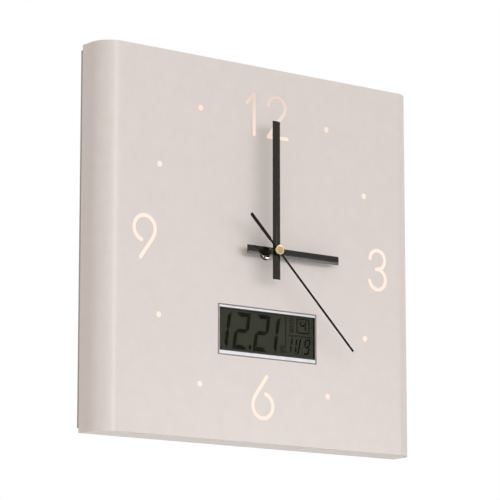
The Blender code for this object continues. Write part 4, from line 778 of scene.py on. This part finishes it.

# Display frame: silver bars between a thin dark lip and a black lining round the window; the lip
# and the lining are painted shade, standing in for the shadow gap round the frame and the shadow
# inside its opening
WINDOW_LAP = -0.3 * MM    # the window lies this far inside the frame's opening
SHADE_LIP = (1.4 * MM, 1.5 * MM, 0.75 * MM, 0.85 * MM)           # left, right, below and above
LIP_STEP = 0.12 * MM
LINING_STEP = 0.25 * MM
SHADE_LINING = (0.4 * MM, 0.5 * MM, 1.0 * MM, 0.9 * MM)           # the same order
FRAME_EDGE = 0.1 * MM
# Both colours are painted shade: the dark lip for the shadow gap round the frame, the black lining
# for the shadow inside its opening
SLOTS["display_lip_painted_shade"] = moulded("display_lip_painted_shade", (0.27, 0.235, 0.21), 0.35, 0.3 * MM, 0.002 * MM)
SLOTS["display_lining_painted_shade"] = moulded("display_lining_painted_shade", (0.016, 0.015, 0.011), 0.40, 0.3 * MM,
                                  0.002 * MM)


def grown(sides, left, right, below, above):
    """Sides of a rectangle as (left, right, low, high), moved out by a width each."""
    return (sides[0] - left, sides[1] + right, sides[2] - below, sides[3] + above)


def frame_ring(name, look, outer, inner, front):
    """One rectangular ring of the display's frame, with eased edges."""
    def build(made):
        levels = [(outer, bezel_high.y), (outer, front), (inner, front), (inner, bezel_high.y)]
        rings = []
        for (x_low, x_high, z_low, z_high), y in levels:
            corners = ((x_low, z_low), (x_high, z_low), (x_high, z_high), (x_low, z_high))
            rings.append([made.verts.new((x, y, z)) for x, z in corners])
        for first, second in zip(rings, rings[1:] + rings[:1]):
            add_band(made, first, second)
    mesh = cut_mesh(mesh_of(name, build), [], 0, 0, FRAME_EDGE)
    piece = finished(name, mesh, look, smooth_angle=FACET_ANGLE)
    return piece


def display_frame():
    """The frame's three rings, from the outer edge to the window; the outer and inner rings are
    painted shade.
    """
    outer = (bezel_low.x, bezel_high.x, bezel_low.z, bezel_high.z)
    opening = (window_low.x + WINDOW_LAP, window_high.x - WINDOW_LAP,
               window_low.z + WINDOW_LAP, window_high.z - WINDOW_LAP)
    bar_outer, bar_inner = grown(outer, *[-width for width in SHADE_LIP]), grown(opening, *SHADE_LINING)
    front = bezel_low.y
    # the lip and the lining drawn here are painted shade; only the bars between them are the
    # frame's silver
    frame_ring("display_lip_painted_shade", "display_lip_painted_shade", outer, bar_outer, front + LIP_STEP)
    bars = frame_ring("display_frame", "silver_plastic", bar_outer, bar_inner, front)
    frame_ring("display_lining_painted_shade", "display_lining_painted_shade", bar_inner, opening, front + LINING_STEP)
    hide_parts("lcd_bezel")


display_frame()

# Characters on the display: seven-part digits and marks, drawn as thin raised shapes
INK_T = 0.05 * MM
SLANT_SHARE = 0.158
BREAK = 0.25 * MM
DIGIT_PARTS = {"0": "ABCDEF", "1": "BC", "2": "ABGED", "3": "ABGCD", "4": "FGBC", "5": "AFGCD",
               "6": "AFGECD", "7": "ABC", "8": "ABCDEFG", "9": "ABCDFG"}


def digit_parts(digit, corner, width, height, thick, slant=SLANT_SHARE):
    """The outlines of one digit's parts; the corner is its lower left, unslanted."""
    half = thick / 2
    left, right = half, width - half
    low, middle, high = half, height / 2, height - half

    def flat(z, out=0):
        """A flat part: pointed in the middle, mitred towards the digit's outside at its ends."""
        if out == 0:
            return [(left + BREAK, z), (left + half + BREAK, z + half),
                    (right - half - BREAK, z + half), (right - BREAK, z),
                    (right - half - BREAK, z - half), (left + half + BREAK, z - half)]
        return [(left - half + BREAK, z + out * half), (right + half - BREAK, z + out * half),
                (right - half - BREAK, z - out * half), (left + half + BREAK, z - out * half)]

    def upright(x, out, up):
        """An upright part from the middle to the top (up 1) or the bottom (up -1)."""
        near, far = middle + up * BREAK, (high if up > 0 else low) + up * (half - BREAK)
        return [(x, near), (x + out * half, near + up * half), (x + out * half, far),
                (x - out * half, far - up * thick), (x - out * half, near + up * half)]
    shapes = {"A": flat(high, 1), "G": flat(middle), "D": flat(low, -1),
              "B": upright(right, 1, 1), "C": upright(right, 1, -1),
              "E": upright(left, -1, -1), "F": upright(left, -1, 1)}
    return [[(corner[0] + x + slant * z, corner[1] + z) for x, z in shapes[part]]
            for part in DIGIT_PARTS[digit]]


# Slanted digits with the place of their left side and their width
BIG_H, BIG_T, BIG_Z = 33.4 * MM, 3.8 * MM, -90.0 * MM
BIG_DIGITS = (("1", -55.4 * MM, 14.0 * MM), ("2", -35.9 * MM, 16.0 * MM),
              ("2", -12.9 * MM, 15.2 * MM), ("1", 1.0 * MM, 12.6 * MM))
DATE_H, DATE_T, DATE_Z = 14.6 * MM, 1.9 * MM, -88.6 * MM
DATE_DIGITS = (("1", 25.4 * MM, 5.4 * MM), ("1", 31.0 * MM, 5.4 * MM),
               ("9", 44.6 * MM, 6.8 * MM))
SLASH_X, SLASH_W, SLASH_LEAN = 37.6 * MM, 1.8 * MM, 3.6 * MM

# Upright digits with their lower left corner, width, height and thickness
WEEKDAY_DIGIT = ("4", (41.0 * MM, -67.0 * MM), 7.4 * MM, 9.6 * MM, 1.7 * MM, 0.0)
SMALL_DIGIT = ("8", (18.6 * MM, -88.8 * MM), 4.4 * MM, 6.4 * MM, 1.2 * MM, 0.0)
FAINT_DIGITS = tuple(("8", (29.2 * MM, z), 4.8 * MM, 6.2 * MM, 1.2 * MM, 0.0)
                     for z in (-62.0 * MM, -69.4 * MM))

# Blocks with their middle, width and height
COLON = tuple(((24.9 * MM, z), 1.2 * MM, 1.6 * MM) for z in (-87.6 * MM, -83.6 * MM))
POINT = ((-15.9 * MM, -87.0 * MM), 2.8 * MM, 4.2 * MM)
WEEKDAY_BOX = (((37.8 * MM, -62.6 * MM), 1.2 * MM, 13.8 * MM),
               ((51.6 * MM, -62.6 * MM), 1.2 * MM, 13.8 * MM),
               ((44.7 * MM, -56.3 * MM), 12.6 * MM, 1.2 * MM),
               ((44.7 * MM, -68.9 * MM), 12.6 * MM, 1.2 * MM))
DIVIDER = ((24.8 * MM, -69.6 * MM), 0.9 * MM, 28.0 * MM)
FAINT_BLOCKS = tuple(((x * MM, -72.4 * MM), 2.4 * MM, 1.4 * MM)
                     for x in (29.6, 33.0, 36.4, 39.8, 43.2, 46.6, 50.0, 52.8))


def display_ink():
    """Time, weekday numeral in its box, date, divider and point."""
    outlines = []
    for digit, x, width in BIG_DIGITS:
        outlines += digit_parts(digit, (x, BIG_Z), width, BIG_H, BIG_T)
    for digit, x, width in DATE_DIGITS:
        outlines += digit_parts(digit, (x, DATE_Z), width, DATE_H, DATE_T)
    for values in (WEEKDAY_DIGIT, SMALL_DIGIT):
        outlines += digit_parts(*values)
    outlines += [block_outline(*block) for block in (*COLON, POINT)]
    outlines.append([(SLASH_X, DATE_Z), (SLASH_X + SLASH_W, DATE_Z),
                     (SLASH_X + SLASH_W + SLASH_LEAN, DATE_Z + DATE_H),
                     (SLASH_X + SLASH_LEAN, DATE_Z + DATE_H)])
    return outlines + [block_outline(*block) for block in (*WEEKDAY_BOX, DIVIDER)]


def faint_ink():
    """Small faint marks."""
    outlines = []
    for values in FAINT_DIGITS:
        outlines += digit_parts(*values)
    return outlines + [block_outline(*block) for block in FAINT_BLOCKS]


SLOTS["display_ink"] = low_gloss(moulded("display_ink", (0.003, 0.003, 0.001), 0.45), 0.04)
SLOTS["display_ink_faint"] = low_gloss(moulded("display_ink_faint", (0.012, 0.012, 0.005), 0.45),
                                       0.06)


def ink(name, outlines, look):
    """Raised shapes on the front of the display's glass."""
    def build(made):
        for outline in outlines:
            add_prism(made, outline, glass_low.y - INK_T, glass_low.y)
    piece = finished(name, mesh_of(name, build), look)


ink("display_characters", display_ink(), "display_ink")
ink("display_faint_marks", faint_ink(), "display_ink_faint")

# Screws of the back panel: flat heads with a cross recess
CROSS_W, CROSS_L, CROSS_DEPTH = 0.7 * MM, 3.4 * MM, 1.1 * MM
SHANK_R, HEAD_SLOPE, SCREW_POINT = 1.5 * MM, 1.4 * MM, 1.2 * MM
HEAD_FLAT = 0.3 * MM


def panel_screw(name):
    """One screw, turned from its packed box, with the cross cut into its head."""
    low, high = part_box(name)
    middle = (low + high) / 2
    at, radius = (middle.x, middle.z), (high.x - low.x) / 2
    profile = [(0, high.y), (radius - EDGE_ROUND, high.y), (radius, high.y - EDGE_ROUND),
               (radius, high.y - HEAD_FLAT), (SHANK_R, high.y - HEAD_FLAT - HEAD_SLOPE),
               (SHANK_R, low.y + SCREW_POINT), (0, low.y)]
    mesh = mesh_of(name, lambda made: add_turned(made, profile, at))
    cross = [block_outline(at, CROSS_W, CROSS_L), block_outline(at, CROSS_L, CROSS_W)]
    mesh = cut_mesh(mesh, cross, high.y - CROSS_DEPTH, high.y + OVERRUN)
    finished(name + "_head", mesh, "zinc_steel", stands_for=[name])


for number in range(1, 5):
    panel_screw(f"panel_screw_{number}")

# Sheet-metal pieces of the back and the ends, with their cut edges eased
# The back panel, its door and rails are painted darker than the case: painted shade, so that the
# panel's edge shows as the dark shadow line behind the case's side
SLOTS["panel_paint_dark_shade"] = moulded("panel_paint_dark_shade", (0.36, 0.33, 0.31), 0.42, 0.5 * MM, 0.006 * MM,
                               0.97)
EASED = {"back_panel": ("case", 0.25 * MM, "panel_paint_dark_shade"),
         "access_door": ("door", 0.15 * MM, "panel_paint_dark_shade"),
         "hanger_plate": ("case", 0.2 * MM, "zinc_steel"),
         "cable_grommet": ("case", 0.25 * MM, "rubber"),
         "door_rail_upper": ("case", 0.15 * MM, "panel_paint_dark_shade"),
         "door_rail_lower": ("case", 0.15 * MM, "panel_paint_dark_shade")}


def eased(name, body, width, look):
    """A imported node's own shape with eased edges."""
    node = frame["nodes"][name]
    mesh = node.data.copy()
    mesh.transform(node.matrix_world)
    made = bmesh.new()
    made.from_mesh(mesh)
    bmesh.ops.remove_doubles(made, verts=made.verts, dist=MERGE)
    bmesh.ops.dissolve_limit(made, angle_limit=math.radians(FLAT_ANGLE), verts=made.verts,
                             edges=made.edges)
    made.to_mesh(mesh)
    made.free()
    shape = cut_mesh(mesh, [], 0, 0, width)
    piece = weighted(finished(name + "_eased", shape, look, body, [name], FACET_ANGLE))


for name, values in EASED.items():
    eased(name, *values)

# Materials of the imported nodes, by slot
for node in frame["nodes"].values():
    for number, old in enumerate(list(node.data.materials)):
        slot = old.name.split(".")[0]
        if slot in SLOTS:
            node.material_slots[number].link = "OBJECT"
            node.material_slots[number].material = SLOTS[slot]

# Camera, placed by a fit to the photographed outline, dots and display
CAMERA_AT = (-1.420737, -1.895106, -0.437706)
CAMERA_YAW = math.radians(37.055)
CAMERA_PITCH = math.radians(10.232)
CAMERA_LENS = 189.215
CAMERA_SHIFT_Y = 0.04
CAMERA_SENSOR = 36
CAMERA_CLIP = (0.05, 50)


def camera():
    data = bpy.data.cameras.new("camera")
    data.lens = CAMERA_LENS
    data.sensor_width = CAMERA_SENSOR
    data.shift_y = CAMERA_SHIFT_Y
    data.clip_start, data.clip_end = CAMERA_CLIP
    made = loose("camera", data)
    made.location = CAMERA_AT
    made.rotation_euler = (math.pi / 2 + CAMERA_PITCH, 0, -CAMERA_YAW)
    bpy.context.scene.camera = made


camera()


def lamp(name, azimuth, elevation, distance, width, height, power, colour, mirrored, soft):
    """An area lamp aimed at the dial; azimuth 0 is in front, +90 on the right."""
    turn, rise = math.radians(azimuth), math.radians(elevation)
    place = Vector((math.sin(turn) * math.cos(rise), -math.cos(turn) * math.cos(rise),
                    math.sin(rise))) * distance
    data = bpy.data.lights.new(name, "AREA")
    data.shape = "RECTANGLE"
    data.size, data.size_y = width, height
    data.energy = power
    data.color = colour
    made = loose(name, data)
    made.location = place
    made.rotation_euler = (-place).to_track_quat("-Z", "Y").to_euler()
    made.visible_glossy, made.visible_diffuse = mirrored, soft


# Name, azimuth, elevation, distance, width, height, power, colour, mirrored, soft. The wide soft
# lamps make the faint shadows and the two tall strips are only mirrored.
LAMPS = (
    ("front_wide", -4, 9, 2.4, 3.0, 0.8, 25.5, (0.88, 0.92, 1.0), False, True),
    ("front_tall", -4, 6, 2.4, 0.4, 1.6, 8, (0.96, 0.98, 1.0), True, False),
    ("right_low", 37, -7, 2.4, 0.3, 0.9, 6.2, (0.95, 0.97, 1.0), True, False),
    ("left_side", -85, 0, 2.4, 1.0, 1.4, 1.4, (1.0, 0.88, 0.78), True, True),
    ("top_warm", -10, 60, 2.4, 1.4, 1.0, 1, (1.0, 0.92, 0.84), True, True),
    ("under", -45, -75, 1.6, 1.2, 0.9, 13.5, (0.97, 0.92, 0.97), False, True),
    ("behind", 160, 25, 2.6, 1.6, 1.4, 15, (1.0, 1.0, 1.0), True, True),
)
for values in LAMPS:
    lamp(*values)

FLOOR_Z = -1.5
FLOOR_HALF = 6.0
FLOOR_SHADES = (0.85, 0.86, 0.87)   # darkest, mean and lightest
FLOOR_ROUGH, FLOOR_CLOUD = 0.7, 400 * MM
AMBIENT, AMBIENT_COLOUR = 0.55, (1.0, 0.95, 0.89, 1)


def floor():
    """A wide plain floor of pale paper."""
    def build(made):
        rows = [[made.verts.new((x, y, FLOOR_Z)) for x in (-FLOOR_HALF, FLOOR_HALF)]
                for y in (-FLOOR_HALF, FLOOR_HALF)]
        made.faces.new((rows[0][0], rows[0][1], rows[1][1], rows[1][0]))
    piece = loose("floor", mesh_of("floor", build))
    dark, mean, light = ((shade,) * 3 for shade in FLOOR_SHADES)
    material, tree, shader = principled("floor_paper", mean, FLOOR_ROUGH)
    tint(tree, shader, noise(tree, FLOOR_CLOUD), dark, light)
    piece.data.materials.append(material)


def world():
    """White where the camera, gloss or glass sees it; a plain soft level on the object."""
    made = bpy.data.worlds.new("studio")
    bpy.context.scene.world = made
    made.use_nodes = True
    tree = made.node_tree
    tree.nodes.clear()
    path = tree.nodes.new("ShaderNodeLightPath")
    seen = path.outputs["Is Camera Ray"]
    for kind in ("Is Glossy Ray", "Is Transmission Ray"):
        either = tree.nodes.new("ShaderNodeMath")
        either.operation = "MAXIMUM"
        tree.links.new(seen, either.inputs[0])
        tree.links.new(path.outputs[kind], either.inputs[1])
        seen = either.outputs[0]
    soft, white = (tree.nodes.new("ShaderNodeBackground") for _ in range(2))
    soft.inputs["Color"].default_value = AMBIENT_COLOUR
    soft.inputs["Strength"].default_value = AMBIENT
    white.inputs["Color"].default_value = (1, 1, 1, 1)
    mix = tree.nodes.new("ShaderNodeMixShader")
    out = tree.nodes.new("ShaderNodeOutputWorld")
    tree.links.new(seen, mix.inputs[0])
    tree.links.new(soft.outputs[0], mix.inputs[1])
    tree.links.new(white.outputs[0], mix.inputs[2])
    tree.links.new(mix.outputs[0], out.inputs["Surface"])


floor()
world()
bpy.context.scene.view_settings.view_transform = "Standard"
